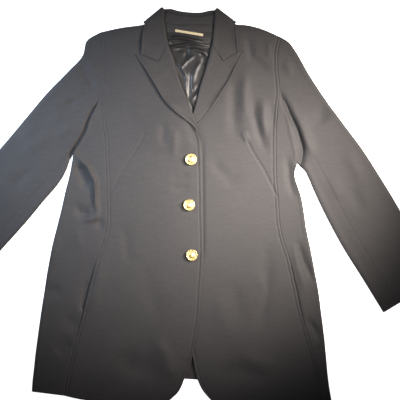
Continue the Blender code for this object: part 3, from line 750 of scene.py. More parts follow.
def side_panel(side):
    top_columns = UNDERARM - SIDE_START

    def place(column, row, depth):
        edge = SIDE[side][row]
        if row == 0:
            edge = edge[0] - OUTWARD[side] * ARMHOLE_SEAM, edge[1]
        run = toward(edge, side_point(side, row, UNDERARM - 1))
        if column < top_columns:
            x, y = side_point(side, row, SIDE_START + column)
            return x, y, FRONT_TOP - depth * WALL
        step = column - top_columns
        if step <= ARC_STEPS:
            inward, height = rounded(FRONT_TOP, 0, EDGE_RADIUS, step, depth)
            return *moved(edge, run, inward), height
        under = step - ARC_STEPS
        if row == 0:
            x, y = side_point(side, row, UNDERARM - under)
            return x, y, depth * WALL
        inward = EDGE_RADIUS + SIDE_LAP * under / SIDE_UNDER_COLUMNS
        return *moved(edge, run, inward), depth * WALL

    columns = top_columns + ARC_STEPS + SIDE_UNDER_COLUMNS
    rows = len(SIDE[side]) - 1
    across = [opening(9)] + [even(6)] * (top_columns - 1)
    across += [even(2)] * ARC_STEPS + [even(4)] * SIDE_UNDER_COLUMNS
    down = [opening(12)] + [even(12)] * (rows - 2) + [closing(14)]
    edges = {"left": "seam", "right": "seam", "top": "seam", "foot": "edge"}
    name = side + "_side_panel_cloth"
    lift = top_lift(own=PANEL_CREASES[side])
    piece = cloth(name, columns, rows, place, (across, down), edges, lift=lift)
    dressed(piece, side + "_side_panel")
    return piece


side_panels = {side: side_panel(side) for side in SIDES}

# %% [markdown]
# The back lies under everything. Its hem shows between the fronts, and its inside shows in the
# neck opening, so it is made whole like the rest.

# %% Back
# The back's top edge from the right armhole along the shoulder and neck to the left: x, y
BACK_TOP = (
    (-216.5, 354.5), (-171, 364.5), (-125, 370), (-101, 379), (-83, 388), (-54, 385),
    (-23, 385), (6, 385), (35, 385), (60, 370), (96, 368), (133, 361), (173.8, 343.5),
)
BACK_YOKE = (0.36, 0.66)
BACK_HEM_RISE = 45.0
BACK_HEM_EASING = (1.0, 0.8, 0.55, 0.3, 0.1)


def back_edge(side, row):
    """The back's edge: down the armhole, then down the side panel's seam on the underside."""
    outward, armhole = OUTWARD[side], ARMHOLE[side]
    last = UNDERARM - SIDE_UNDER_COLUMNS
    if row < last:
        return armhole[row][0] - outward * ARMHOLE_SEAM, armhole[row][1]
    if row == last:
        run = toward(armhole[last], armhole[last - 1])
        x, y = armhole[last]
        return x - outward * BACK_SEAM + run[0] * BACK_SEAM, y + run[1] * BACK_SEAM
    edge = SIDE[side][row - last]
    run = toward(edge, side_point(side, row - last, UNDERARM - 1))
    inward = EDGE_RADIUS + SIDE_LAP + BACK_SEAM
    return edge[0] + run[0] * inward - outward * BACK_SEAM, edge[1] + run[1] * inward


def back():
    columns = len(BACK_TOP) - 1
    yoke_rows = len(BACK_YOKE)
    last = UNDERARM - SIDE_UNDER_COLUMNS + len(SIDE["right"]) - 1

    def spot(column, row):
        """A point of the back, the yoke's rows left out."""
        t = (BACK_TOP[column][0] - BACK_TOP[0][0]) / (BACK_TOP[-1][0] - BACK_TOP[0][0])
        if row == 0:
            return BACK_TOP[column]
        right, left = back_edge("right", row), back_edge("left", row)
        from_hem = last - row
        share = BACK_HEM_EASING[from_hem] if from_hem < len(BACK_HEM_EASING) else 0.0
        rise = share * BACK_HEM_RISE * math.sin(math.pi * t)
        return mix(right[0], left[0], t), mix(right[1], left[1], t) + rise

    def place(column, row, depth):
        x, y = spot(column, max(0, row - yoke_rows))
        if 0 < row <= yoke_rows:
            upper, lower = spot(column, 0), spot(column, 1)
            x, y = (mix(a, b, BACK_YOKE[row - 1]) for a, b in zip(upper, lower))
        return x, y, float(collar_room(x, y)) + depth * WALL

    rows = yoke_rows + last
    across = [opening(6)] + [even(7)] * (columns - 2) + [closing(6)]
    down = [even(3)] * (rows - 1) + [closing(8)]
    edges = {"left": "seam", "right": "seam", "top": "seam", "foot": "edge"}
    piece = cloth("back_cloth", columns, rows, place, (across, down), edges)
    dressed(piece, "back")
    return piece


back_piece = back()

# %% [markdown]
# A sleeve is a tube of two pieces that has been laid flat. The seams run down its length, one on
# top near the front edge and one underneath, so each piece is folded round one of the two sides.

# %% Sleeves
# Sleeves from the armhole to the cuff: outer edge x, y, inner edge x, y, share of the armhole's curve
SLEEVE = {
    "right": (
        (-219, 370, -279, 103, 1.00),
        (-250, 350, -284, 94, 0.85),
        (-258, 320, -289, 84, 0.65),
        (-290, 284, -294, 68, 0.45),
        (-335, 238, -302, 51, 0.25),
        (-385, 179, -315, 32, 0.10),
        (-440, 114, -340, 3, 0.0),
        (-490, 58, -385, -51, 0.0),
        (-541, 0, -430, -101, 0.0),
        (-592, -57, -476, -152, 0.0),
        (-642, -114, -521, -202, 0.0),
    ),
    "left": (
        (178, 359, 215, 80, 1.00),
        (193, 350, 218, 77, 0.85),
        (213, 324, 222, 73, 0.65),
        (238, 280, 226, 69, 0.45),
        (270, 231, 232, 63, 0.25),
        (312, 173, 239, 49, 0.10),
        (359, 110, 251, 21, 0.0),
        (401, 44, 277, -34, 0.0),
        (440, -21, 313, -101, 0.0),
        (480, -97, 358, -173, 0.0),
        (520, -178, 404, -248, 0.0),
    ),
}
SLEEVE_GRAIN = {"right": -48.0, "left": 60.0}


def sleeve_point(side, row, index):
    """The point of a sleeve's section that follows the armhole's point of this index."""
    armhole = ARMHOLE[side]
    outer_x, outer_y, inner_x, inner_y, share = SLEEVE[side][row]
    first, last = armhole[0], armhole[UNDERARM]
    t = (first[1] - armhole[index][1]) / (first[1] - last[1])
    x = mix(outer_x, inner_x, t) + share * (armhole[index][0] - mix(first[0], last[0], t))
    return (x + OUTWARD[side] * ARMHOLE_SEAM if row == 0 else x), mix(outer_y, inner_y, t)


def sleeve_piece(side, piece):
    over = piece == "top"
    edge_index = 0 if over else UNDERARM
    step_in = 1 if over else -1
    top_columns = abs(SLEEVE_FRONT_SEAM - edge_index)
    under_columns = abs(SLEEVE_BACK_SEAM - edge_index)

    def seam_point(row, index):
        """A point of the section, half the seam's gap back on the pieces' shared seams."""
        x, y = sleeve_point(side, row, index)
        if index in (SLEEVE_FRONT_SEAM, SLEEVE_BACK_SEAM):
            run = toward((x, y), sleeve_point(side, row, index - step_in))
            x, y = moved((x, y), run, SEAM)
        return x, y

    def place(column, row, depth):
        if column < top_columns:
            x, y = seam_point(row, SLEEVE_FRONT_SEAM - step_in * column)
            return x, y, FRONT_TOP - depth * WALL
        edge = sleeve_point(side, row, edge_index)
        run = toward(edge, sleeve_point(side, row, edge_index + step_in))
        step = column - top_columns
        if step <= ARC_STEPS:
            inward, height = rounded(FRONT_TOP, 0, EDGE_RADIUS, step, depth)
            return *moved(edge, run, inward), height
        x, y = seam_point(row, edge_index + step_in * (step - ARC_STEPS))
        return x, y, depth * WALL

    columns = top_columns + ARC_STEPS + under_columns
    rows = len(SLEEVE[side]) - 1
    fine = 4 if over else 5
    across = [opening(6)] + [even(fine)] * (top_columns - 1) + [even(2)] * ARC_STEPS
    across += [even(3)] * (under_columns - 1) + [closing(5)]
    down = [opening(10)] + [even(9)] * 2 + [even(14)] * (rows - 4) + [closing(20)]
    edges = {"left": "faint", "right": "faint", "top": "seam", "foot": "edge"}
    name = f"{side}_{piece}_sleeve_cloth"
    lift = top_lift(own=SLEEVE_CREASES[side])
    made = cloth(name, columns, rows, place, (across, down), edges, SLEEVE_GRAIN[side], lift=lift)
    dressed(made, f"{side}_{piece}_sleeve")
    return made


sleeves = {(side, piece): sleeve_piece(side, piece) for side in SIDES for piece in ("top", "under")}

# %% [markdown]
# A lapel is the facing turned out at the roll line. It isn't pressed flat there: the cloth makes a
# half turn round a little air, so the roll catches the light. Its peak points up and out past the
# gorge, the seam where lapel and collar meet.

# %% Lapels
# Lapels from the gorge to the break: roll line x, y, outer edge x, y
LAPEL = {
    "right": (
        (-70, 343, -143, 321),
        (-64, 327, -131, 303),
        (-58, 311, -119, 285),
        (-53, 291, -107, 265),
        (-47, 270, -94, 243),
        (-40, 249, -80, 220),
        (-33, 231, -66, 203),
        (-26, 215, -51, 190),
        (-20, 200, -37, 179),
        (-14, 186, -24, 169),
        (-10, 173, -14, 160),
        (-6, 160, -7, 150),
    ),
    "left": (
        (26, 345, 98, 330),
        (22, 330, 91, 314),
        (19, 314, 83, 297),
        (14, 297, 74, 279),
        (9, 280, 65, 262),
        (3, 262, 55, 245),
        (-2, 244, 45, 228),
        (-6, 227, 34, 211),
        (-10, 210, 22, 194),
        (-15, 194, 10, 179),
        (-21, 180, -1, 167),
        (-28, 168, -13, 156),
        (-35, 156, -26, 147),
    ),
}
# The gorge seam between lapel and collar: bend x, y, then the collar's corner x, y
GORGE = {"right": ((-92, 304), (-131, 320)), "left": ((50, 305), (85, 327))}
LEAF_COLUMNS = 6
GORGE_BEND_COLUMN = 2
PEAK_COLUMNS = 2
GORGE_SHIFT = (0.1, 0.3)
GORGE_EASING = (1.0, 0.8, 0.55, 0.3, 0.12)


def turned(across, width, column, depth):
    """Distance out and height of a leaf that turns back under itself at its roll line."""
    if column == 0:
        return ROLL_RADIUS + ROLL_RETURN, -2 * ROLL_RADIUS + depth * WALL
    if column <= ROLL_STEPS + 1:
        angle = math.pi * ((column - 1) / ROLL_STEPS - 0.5)
        radius = ROLL_RADIUS - depth * WALL
        return ROLL_RADIUS - radius * math.cos(angle), -ROLL_RADIUS + radius * math.sin(angle)
    t = (column - ROLL_STEPS - 1) / across
    return mix(ROLL_RADIUS, width, t), -depth * WALL


def gorge_point(side, roll, column, tip=None):
    """A point on the gorge seam: from the roll line to its bend, to the corner and on to a peak."""
    bend, corner = GORGE[side]
    if column <= GORGE_BEND_COLUMN:
        run = toward(roll, bend)
        return mixed(moved(roll, run, ROLL_RADIUS), bend, column / GORGE_BEND_COLUMN)
    stretch = LEAF_COLUMNS - GORGE_BEND_COLUMN - (PEAK_COLUMNS if tip else 0)
    t = (column - GORGE_BEND_COLUMN) / stretch
    if t <= 1:
        return mixed(bend, corner, t)
    t = (column - GORGE_BEND_COLUMN - stretch) / PEAK_COLUMNS
    return mixed(corner, tip, t)


def leaf_lift(side):
    """What lifts a leaf that lies on a front: the front's creases and room, and the leaf's own."""
    def lift(x, y, z):
        room = overlap_room(x, y) if side == "right" else 0.0
        return room + CREASES_THROUGH * creased(x, y, CREASES) + creased(x, y, LEAF_CREASES)
    return lift


LEAF_CREASES = (
    (((-120, 250), (-90, 275), (-58, 292)), 5, 0.8),
    (((-139, 324), (-108, 266), (-80, 225), (-58, 200), (-35, 178), (-10, 156)), 7, 3.6),
    (((93, 330), (86, 308), (64, 262), (42, 229), (10, 183)), 5, 4.0),
    (((-124, 388), (-127, 350), (-126, 318)), 6, 3.8),
    (((74, 388), (82, 350), (84, 318)), 6, 3.0),
)
LEAF_ACROSS = [even(3)] + [even(4)] * ROLL_STEPS + [even(6)] * (LEAF_COLUMNS - 2)
LEAF_ACROSS += [closing(5, 0.8), closing(12, 0.4)]
# How much of the front's creases shows through a leaf that lies on it
CREASES_THROUGH = 0.5
BEND_COLUMN = ROLL_STEPS + 1 + GORGE_BEND_COLUMN
CORNER_COLUMN = ROLL_STEPS + 1 + LEAF_COLUMNS - PEAK_COLUMNS


def lapel(side):
    outward, table = OUTWARD[side], LAPEL[side]
    gorge_roll, tip = table[0][:2], table[0][2:]
    gorge_run = toward(gorge_roll, GORGE[side][0])

    def place(column, row, depth):
        roll, edge = table[row][:2], table[row][2:]
        run = toward(roll, edge)
        share = GORGE_EASING[row] if row < len(GORGE_EASING) else 0.0
        run = toward((0, 0), mixed(run, gorge_run, share))
        width = math.hypot(edge[0] - roll[0], edge[1] - roll[1])
        out, height = turned(LEAF_COLUMNS, width, column, depth)
        x, y = moved(roll, run, out)
        leaf_column = column - ROLL_STEPS - 1
        if leaf_column > 0:
            t = leaf_column / LEAF_COLUMNS
            bent_x, bent_y = gorge_point(side, gorge_roll, leaf_column, tip)
            x = mix(roll[0], edge[0], t) + share * (bent_x - mix(gorge_roll[0], tip[0], t))
            y = mix(roll[1], edge[1], t) + share * (bent_y - mix(gorge_roll[1], tip[1], t))
        if row == 0:
            x -= outward * GORGE_SHIFT[0]
            y -= GORGE_SHIFT[1]
        return x, y, LEAF_TOP + height

    rows = len(table) - 1
    down = [opening(10, 0.35)] + [even(6)] * (rows - 2) + [closing(8)]
    edges = {"right": "stitched", "top": "gorge", "foot": "edge"}
    columns = 1 + ROLL_STEPS + LEAF_COLUMNS
    name = side + "_lapel_cloth"
    piece = cloth(
        name, columns, rows, place, (LEAF_ACROSS, down), edges,
        lift=leaf_lift(side), corners=((BEND_COLUMN, CORNER_COLUMN), ()),
    )
    dressed(piece, side + "_lapel")
    return piece


lapels = {side: lapel(side) for side in SIDES}

# %% [markdown]
# The collar is one strip. Its two leaves lie on the fronts. At each side of the neck it makes a
# half turn about the fold, where the layers change over, and behind the neck the fall lies
# under the back with the stand showing above it.

# %% Collar
# The collar, a row for each section along it, from the right gorge round the back to the left:
# roll line x, y, outer edge x, y, width of the stand, half turns made about the fold
COLLAR = (
    (-70, 343, -131, 320, 10.0, 0.0),
    (-73, 361, -129, 340, 15.0, 0.0),
    (-76, 380, -127, 361, 20.0, 0.0),
    (-79, 399, -125, 375, 24.0, 0.0),
    (-80, 422, -122, 388, 33.0, 0.0),
    (-80, 422, -122, 388, 33.0, 0.25),
    (-80, 422, -122, 388, 33.0, 0.5),
    (-80, 422, -122, 388, 33.0, 0.75),
    (-80, 422, -122, 388, 33.0, 1.0),
    (-66, 422, -91, 377, 35.0, 1.0),
    (-46, 417, -58, 372, 32.0, 1.0),
    (-22, 414, -24, 370, 28.0, 1.0),
    (4, 414, 8, 370, 28.0, 1.0),
    (22, 418, 40, 374, 34.0, 1.0),
    (34, 420, 77, 388, 33.0, 1.0),
    (34, 420, 77, 388, 33.0, 0.75),
    (34, 420, 77, 388, 33.0, 0.5),
    (34, 420, 77, 388, 33.0, 0.25),
    (34, 420, 77, 388, 33.0, 0.0),
    (32, 400, 80, 376, 27.0, 0.0),
    (30, 382, 82, 361, 20.0, 0.0),
    (28, 364, 84, 345, 16.0, 0.0),
    (26, 345, 85, 327, 10.0, 0.0),
)
STAND_COLUMNS = 3
# The collar's leaves have creases only below the fold at the neck: y where they start and are full
COLLAR_CREASED = (410, 392)


def collar_frame(row):
    """A section of the collar: roll point, edge point, direction across, way out, half turns."""
    roll_x, roll_y, edge_x, edge_y, stand, turns = COLLAR[row]
    run = toward((roll_x, roll_y), (edge_x, edge_y))
    sign = -1 if row < len(COLLAR) / 2 else 1
    away = sign * -run[1], sign * run[0]
    return (roll_x, roll_y), (edge_x, edge_y), run, away, turns * math.pi


def wound(x, y, height, away, angle):
    """A point of the collar's stack of layers, wound about the fold at the neck by an angle."""
    middle = LEAF_TOP / 2
    reach = middle + height
    return (
        x + away[0] * reach * math.sin(angle),
        y + away[1] * reach * math.sin(angle),
        middle + reach * math.cos(angle),
    )


def collar_lift(x, y, z):
    share = ramp(z, FRONT_TOP - 1, LEAF_TOP) * ramp(y, *COLLAR_CREASED)
    return share * (CREASES_THROUGH * creased(x, y, CREASES) + creased(x, y, LEAF_CREASES))


def collar_marks():
    """Fine marks along the collar: few on the half turns, more on the leaves and round the neck."""
    marks = []
    for upper, lower in zip(COLLAR, COLLAR[1:]):
        marks.append(even(3) if upper[:2] == lower[:2] else even(7))
    marks[0], marks[-1] = opening(10, 0.35), closing(10, 0.35)
    return marks


def collar_fall():
    last = len(COLLAR) - 1

    def place(column, row, depth):
        roll, edge, run, away, angle = collar_frame(row)
        side = "right" if row < last / 2 else "left"
        ends = row in (0, last)
        if ends:
            run = toward(roll, GORGE[side][0])
        width = math.hypot(edge[0] - roll[0], edge[1] - roll[1])
        out, height = turned(LEAF_COLUMNS, width, column, depth)
        x, y = moved(roll, run, out)
        if ends:
            if column > ROLL_STEPS + 1:
                x, y = gorge_point(side, roll, column - ROLL_STEPS - 1)
            x += OUTWARD[side] * GORGE_SHIFT[0]
            y += GORGE_SHIFT[1]
        return wound(x, y, height, away, angle)

    columns = 1 + ROLL_STEPS + LEAF_COLUMNS
    edges = {"right": "stitched", "top": "gorge", "foot": "gorge"}
    piece = cloth(
        "collar_fall_cloth", columns, last, place, (LEAF_ACROSS, collar_marks()), edges,
        lift=collar_lift, corners=((BEND_COLUMN,), ()),
    )
    dressed(piece, "collar_fall")
    return piece


def collar_stand():
    def place(column, row, depth):
        roll, edge, run, away, angle = collar_frame(row)
        start = ROLL_RADIUS + ROLL_RETURN + GAP
        out = mix(start, COLLAR[row][4], column / STAND_COLUMNS)
        height = -2 * ROLL_RADIUS + depth * WALL
        return wound(*moved(roll, run, out), height, away, angle)

    marks = ([even(4), even(5), closing(8)], collar_marks())
    edges = {"left": "edge", "right": "edge", "top": "edge", "foot": "edge"}
    piece = cloth("collar_stand_cloth", STAND_COLUMNS, len(COLLAR) - 1, place, marks, edges)
    dressed(piece, "collar_stand")
    return piece


collar = [collar_fall(), collar_stand()]

# %% [markdown]
# The neck opening shows the inside of the back: a facing in the outer cloth, the label's tape, and
# the satin lining. Lining is cut larger than the coat, so it lies in loose, shining folds.

# %% Inside the neck
# The neck opening: y, right roll line x, left roll line x
NECK = (
    (384, -76, 30),
    (369, -74, 29),
    (343, -70, 26),
    (323, -62, 21),
    (298, -55, 14),
    (267, -46, 4),
    (240, -37, -3),
    (212, -25, -11),
    (190, -22, -8),
)
# Inside the neck: facing, lining and label
FACING_TOP = 384.0
FACING_FOOT = 369.0
FACING_INSET = 2.0
LINING_FOOT = 178.0
LINING_TUCK = 7.0
LINING_WALL = 1.2
LINING_TUCK_ENDS = (318, 342)
LABEL_ENDS = ((-55, 373), (7, 363))
LABEL_SHOWS = 5.6
LABEL_WALL = 1.0
# How far the lining's folds may sink and rise, and how far in from the lapels they start
LINING_SINKS, LINING_RISES = -1.2, 5.0
LINING_OUT, LINING_IN = 2, 9
LINING_CREASES = (
    (((-88, 352), (-48, 358), (-26, 354), (22, 345)), 3.2, 3),
    (((-81, 345), (-53, 344), (-18, 349)), 3.2, -2),
    (((-84, 332), (-48, 340), (-22, 345), (31, 339)), 3.4, 3.2),
    (((-57, 328), (-40, 332), (-29, 328), (-33, 308)), 4.5, -2),
    (((-31, 330), (-9, 332), (7, 326), (20, 315)), 4.5, 2.2),
    (((-46, 286), (-29, 306), (-9, 321)), 3.4, 1.5),
    (((-2, 326), (9, 315), (7, 295)), 3.8, -2),
    (((-57, 315), (-40, 290), (-26, 266)), 2.6, 1.6),
    (((-55, 299), (-40, 277), (-29, 260)), 2.8, -1.4),
    (((-33, 284), (-31, 255), (-29, 224)), 2, 1),
    (((-22, 286), (-22, 251), (-24, 216)), 2.8, -2),
    (((-22, 218), (-9, 229), (4, 242)), 3.6, 1.8),
    (((-20, 244), (-11, 238), (0, 255)), 3.2, -1.8),
    (((-18, 255), (-9, 288), (4, 312)), 4.5, 1.5),
    (((-29, 220), (-20, 202), (-13, 180)), 4.5, -2.4),
)


def at_level(rows, level):
    """The row of a table whose first column is y, read at a level between its rows."""
    for upper, lower in zip(rows, rows[1:]):
        if lower[0] <= level <= upper[0]:
            t = (upper[0] - level) / (upper[0] - lower[0])
            return [mix(a, b, t) for a, b in zip(upper, lower)]
    return rows[0] if level > rows[0][0] else rows[-1]


def back_neck_facing():
    columns, rows = 8, 2

    def place(column, row, depth):
        y = mix(FACING_TOP, FACING_FOOT, row / rows)
        right, left = at_level(NECK, y)[1:]
        x = mix(right + FACING_INSET, left - FACING_INSET, column / columns)
        return x, y, float(collar_room(x, y)) + LAYER + depth * LINING_WALL

    marks = ([even(5)] * columns, [even(4), closing(6)])
    edges = {"top": "edge", "foot": "edge"}
    name = "back_neck_facing_cloth"
    piece = cloth(name, columns, rows, place, marks, edges, thickness=LINING_WALL)
    dressed(piece, "back_neck_facing")
    return piece


def lining_lift(x, y, z):
    """The lining's own folds, held flat where the lapels lie on it."""
    levels, rights, lefts = zip(*NECK)
    right, left = (np.interp(-y, [-level for level in levels], xs) for xs in (rights, lefts))
    free = ramp(x, right - LINING_OUT, right + LINING_IN)
    free = free * ramp(x, left + LINING_OUT, left - LINING_IN)
    return free * np.clip(creased(x, y, LINING_CREASES), LINING_SINKS, LINING_RISES)


def back_lining():
    columns, rows = 12, 18

    def place(column, row, depth):
        y = mix(FACING_FOOT - GAP, LINING_FOOT, row / rows)
        right, left = at_level(NECK, y)[1:]
        inset = mix(-LINING_TUCK, FACING_INSET, float(ramp(y, *LINING_TUCK_ENDS)))
        x = mix(right + inset, left - inset, column / columns)
        return x, y, float(collar_room(x, y)) + LAYER + depth * LINING_WALL

    marks = ([even(5)] * columns, [even(8)] * rows)
    piece = cloth(
        "back_lining_cloth", columns, rows, place, marks, {},
        thickness=LINING_WALL, lift=lining_lift,
    )
    dressed(piece, "back_lining")
    return piece


def neck_label():
    columns = 4

    def place(column, row, depth):
        x, y = mixed(*LABEL_ENDS, column / columns)
        y = y - LABEL_SHOWS * (row - 0.5)
        level = float(collar_room(x, y)) + LAYER + LINING_WALL + 2 * GAP
        return x, y, level + depth * LABEL_WALL

    marks = ([opening(8)] + [even(6)] * 2 + [closing(8)], [even(8)])
    edges = {"left": "edge", "right": "edge", "top": "edge", "foot": "edge"}
    piece = cloth("neck_label_tape", columns, 1, place, marks, edges, thickness=LABEL_WALL)
    dressed(piece, "neck_label")
    return piece


inside = [back_neck_facing(), back_lining(), neck_label()]

# %% [markdown]
# Each pocket is set into the seam between front and side panel. Its mouth gapes a little, and the
# dark strip inside it is the bag.

# %% Pocket bags
BAG_BELOW = 5
BAG_ABOVE = 20


def pocket(side):
    low, high = POCKET_FOOT - BAG_BELOW, POCKET_TOP + BAG_ABOVE
    rows = [row for row in FRONT[side] if low <= row[1] <= high]

    def place(column, row, depth):
        x, y = rows[row][0], rows[row][1]
        return x + POCKET_BAG * (column / 2 - 0.5), y, LAYER + GAP + depth * POCKET_WALL

    marks = ([even(6)] * 2, [even(6)] * (len(rows) - 1))
    piece = cloth(side + "_pocket_cloth", 2, len(rows) - 1, place, marks, {}, thickness=POCKET_WALL)
    dressed(piece, side + "_pocket")
    return piece


pockets = [pocket(side) for side in SIDES]

# %% [markdown]
# The buttons are pressed metal: a rolled rim, a sunk ring with a row of small beads, and a plain
# dome. A profile spun round the middle gives the body, and the beads are one bead, repeated.

# %% Buttons
# Button centres: x, y
BUTTONS = ((-20, 89), (-24, -11), (-18, -121))
BUTTON_WIDTH = 26.0
BUTTON_DOME = 5.5
SHANK_WIDTH = 7.0
SHANK_HEIGHT = 2.6
BUTTON_STEPS = 56
BUTTON_SHARP_ANGLE = 60
# The face from its middle to the back of its rim: shares of the half width and of the dome's height
BUTTON_FACE = (
    (0.0, 1.0), (0.16, 0.99), (0.32, 0.93), (0.44, 0.84), (0.50, 0.74), (0.54, 0.62), (0.70, 0.56),
    (0.75, 0.64), (0.80, 0.76), (0.86, 0.80), (0.93, 0.74), (0.98, 0.58), (1.0, 0.40),
    (0.97, 0.22), (0.88, 0.10),
)
# The ring of beads: how many, and shares of the half width and of the dome's height
BEADS = 28
BEAD_RING = 0.62
BEAD_HEIGHT = 0.6
BEAD_SIZE = 0.052
BEAD_FLATTENED = 0.7


def button(number, centre):
    half, shank = BUTTON_WIDTH / 2, SHANK_WIDTH / 2
    x, y = centre
    foot = FRONT_TOP + float(creased(x, y, CREASES) + overlap_room(x, y)) + GAP
    profile = [(half * out, SHANK_HEIGHT + BUTTON_DOME * up) for out, up in BUTTON_FACE]
    profile += [(shank, SHANK_HEIGHT), (shank, 0.0), (0.0, 0.0)]
    shape = bmesh.new()
    points = [shape.verts.new((r * MM, 0, h * MM)) for r, h in profile]
    lines = [shape.edges.new(pair) for pair in zip(points, points[1:])]
    bmesh.ops.spin(
        shape, geom=points + lines, cent=(0, 0, 0), axis=(0, 0, 1), angle=math.tau,
        steps=BUTTON_STEPS, use_merge=True,
    )
    bmesh.ops.remove_doubles(shape, verts=shape.verts, dist=0.00002)
    bmesh.ops.recalc_face_normals(shape, faces=shape.faces)
    for k in range(BEADS):
        turn = math.tau * k / BEADS
        height = SHANK_HEIGHT + BUTTON_DOME * BEAD_HEIGHT
        ring_x = math.cos(turn) * half * BEAD_RING
        ring_y = math.sin(turn) * half * BEAD_RING
        spot = Vector((ring_x, ring_y, height))
        bead = Matrix.Translation(spot * MM) @ Matrix.Diagonal((1, 1, BEAD_FLATTENED, 1))
        bmesh.ops.create_icosphere(shape, subdivisions=2, radius=half * BEAD_SIZE * MM, matrix=bead)
    bmesh.ops.translate(shape, verts=shape.verts, vec=(x * MM, y * MM, foot * MM))
    piece = new_piece(f"button_{number}_metal", shape)
    piece.data.set_sharp_from_angle(angle=math.radians(BUTTON_SHARP_ANGLE))
    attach(piece, "root")
    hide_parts(f"button_{number}")
    return piece


buttons = [button(number, centre) for number, centre in enumerate(BUTTONS, 1)]
print("buttons:", len(buttons), "faces in each:", len(buttons[0].data.polygons))

# %% [markdown]
# Stitches are thread, so each row is made of small lozenges that lie half sunk in the groove that
# they pull. A row follows a line a few millimetres in from the edge it holds.

# %% Rows of stitches
STITCH_PITCH = 3.6
STITCH_LENGTH = 2.9
THREAD = 0.42
STITCH_SUNK = 0.1
ALONG_X = Matrix.Rotation(math.pi / 2, 4, "Y")
# Where each row runs: the border it follows, and its start and end as shares of that border
EDGE_ROWS = (
    ("lapel", "right", 0.03, 1.0),
    ("lapel", "top", 0.55, 0.94),
    ("front", "right", 0.33, 0.985),
    ("front", "left", 0.05, 0.99),
)
COLLAR_ROWS = ((0.02, 0.24), (0.76, 0.98))


def inset_line(name, border, start, end):
    """The stitches' line along one border of a piece's surface, between two shares of it."""
    surface = surfaces[name]
    if border in ("top", "foot"):
        surface = surface.transpose(1, 0, 2)
    if border in ("right", "foot"):
        surface = surface[:, ::-1]
    reach = distances(surface, 1)[0]
    points = [
        [np.interp(STITCH_INSET, reach[j], surface[j, :, k]) for k in range(3)]
        for j in range(len(surface))
        if reach[j, -1] > STITCH_INSET
    ]
    first, last = round(start * (len(points) - 1)), round(end * (len(points) - 1))
    return np.array(points[first:last + 1])


def resampled(line, pitch):
    """Points a pitch apart along a line."""
    done = np.insert(np.cumsum(np.linalg.norm(np.diff(line, axis=0), axis=1)), 0, 0.0)
    marks = np.arange(0.0, done[-1], pitch)
    return np.stack([np.interp(marks, done, line[:, k]) for k in range(3)], 1)


def stitches(name, lines, pitch=STITCH_PITCH, length=STITCH_LENGTH, sunk=STITCH_SUNK):
    """One piece of thread: a lozenge for every stitch of these lines."""
    shape = bmesh.new()
    for line in lines:
        spots = resampled(line, pitch)
        for here, there in zip(spots, spots[1:]):
            run = Vector(there - here).normalized()
            turn = run.to_track_quat("X", "Z").to_matrix().to_4x4()
            middle = Vector((here + there) / 2 + (0, 0, THREAD - sunk))
            size = Matrix.Diagonal((length / 2 * MM, THREAD * MM, THREAD * MM, 1))
            lozenge = Matrix.Translation(middle * MM) @ turn @ size @ ALONG_X
            bmesh.ops.create_uvsphere(
                shape, u_segments=6, v_segments=4, radius=1, matrix=lozenge,
            )
    piece = new_piece(name, shape)
    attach(piece, "root")
    print(f"{name}: {len(piece.data.polygons)} faces")
    return piece


threads = []
for side in SIDES:
    edge = [
        inset_line(f"{side}_{piece}_cloth", border, start, end)
        for piece, border, start, end in EDGE_ROWS
    ]
    threads.append(stitches(side + "_edge_stitches", edge))
collar_edge = [inset_line("collar_fall_cloth", "right", *ends) for ends in COLLAR_ROWS]
threads.append(stitches("collar_stitches", collar_edge))

# %% [markdown]
# Two things more are sewn: a buttonhole at each button, of close stitches on both sides of its
# slit, and a bar across the foot of each pocket. They use the same lozenges, set side by side.

# %% Buttonholes and pocket bars
HOLE_LENGTH = 23
HOLE_HALF = 0.8
BAR_LENGTH = 13
CLOSE_PITCH = 1.0
CLOSE_LENGTH = 1.5


def laid(name, start, end):
    """A straight line laid on a piece's surface."""
    spots = surfaces[name].reshape(-1, 3)
    line = resampled(np.array([(*start, 0.0), (*end, 0.0)]), CLOSE_PITCH)
    for point in line:
        away = np.hypot(spots[:, 0] - point[0], spots[:, 1] - point[1])
        point[2] = spots[np.argmin(away), 2]
    return line


def buttonhole(x, y):
    """The two sides of a slit that runs out from under its button, and its end."""
    name, end_x = "right_front_cloth", x - HOLE_LENGTH
    sides = [laid(name, (end_x, y + rise), (x, y + rise)) for rise in (-HOLE_HALF, HOLE_HALF)]
    return sides + [laid(name, (end_x, y - 2 * HOLE_HALF), (end_x, y + 2 * HOLE_HALF))]


def pocket_bar(side):
    seam = sorted((row[1], row[0]) for row in FRONT[side])
    x = float(np.interp(POCKET_FOOT, [y for y, _ in seam], [x for _, x in seam]))
    start, end = x - OUTWARD[side] * BAR_LENGTH, x - OUTWARD[side] * 2 * SEAM
    name = side + "_front_cloth"
    return [laid(name, (start, y), (end, y)) for y in (POCKET_FOOT, POCKET_FOOT - HOLE_HALF)]


close_rows = {"buttonholes": [line for centre in BUTTONS for line in buttonhole(*centre)]}
for side in SIDES:
    close_rows[side + "_pocket_bar"] = pocket_bar(side)
for name, lines in close_rows.items():
    threads.append(stitches(name, lines, CLOSE_PITCH, CLOSE_LENGTH, sunk=0.0))

# %% [markdown]
# Cloth is wool twill: fine slanting ribs, a soft sheen where fibres stand up, and threads that are
# not all dyed alike. The ribs are a wave texture on the cloth's own UV map, turned to the twill's
# slant, and they reach the shader only as bump. Shader sums are written as Python sums, through a
# small class that wraps a socket.

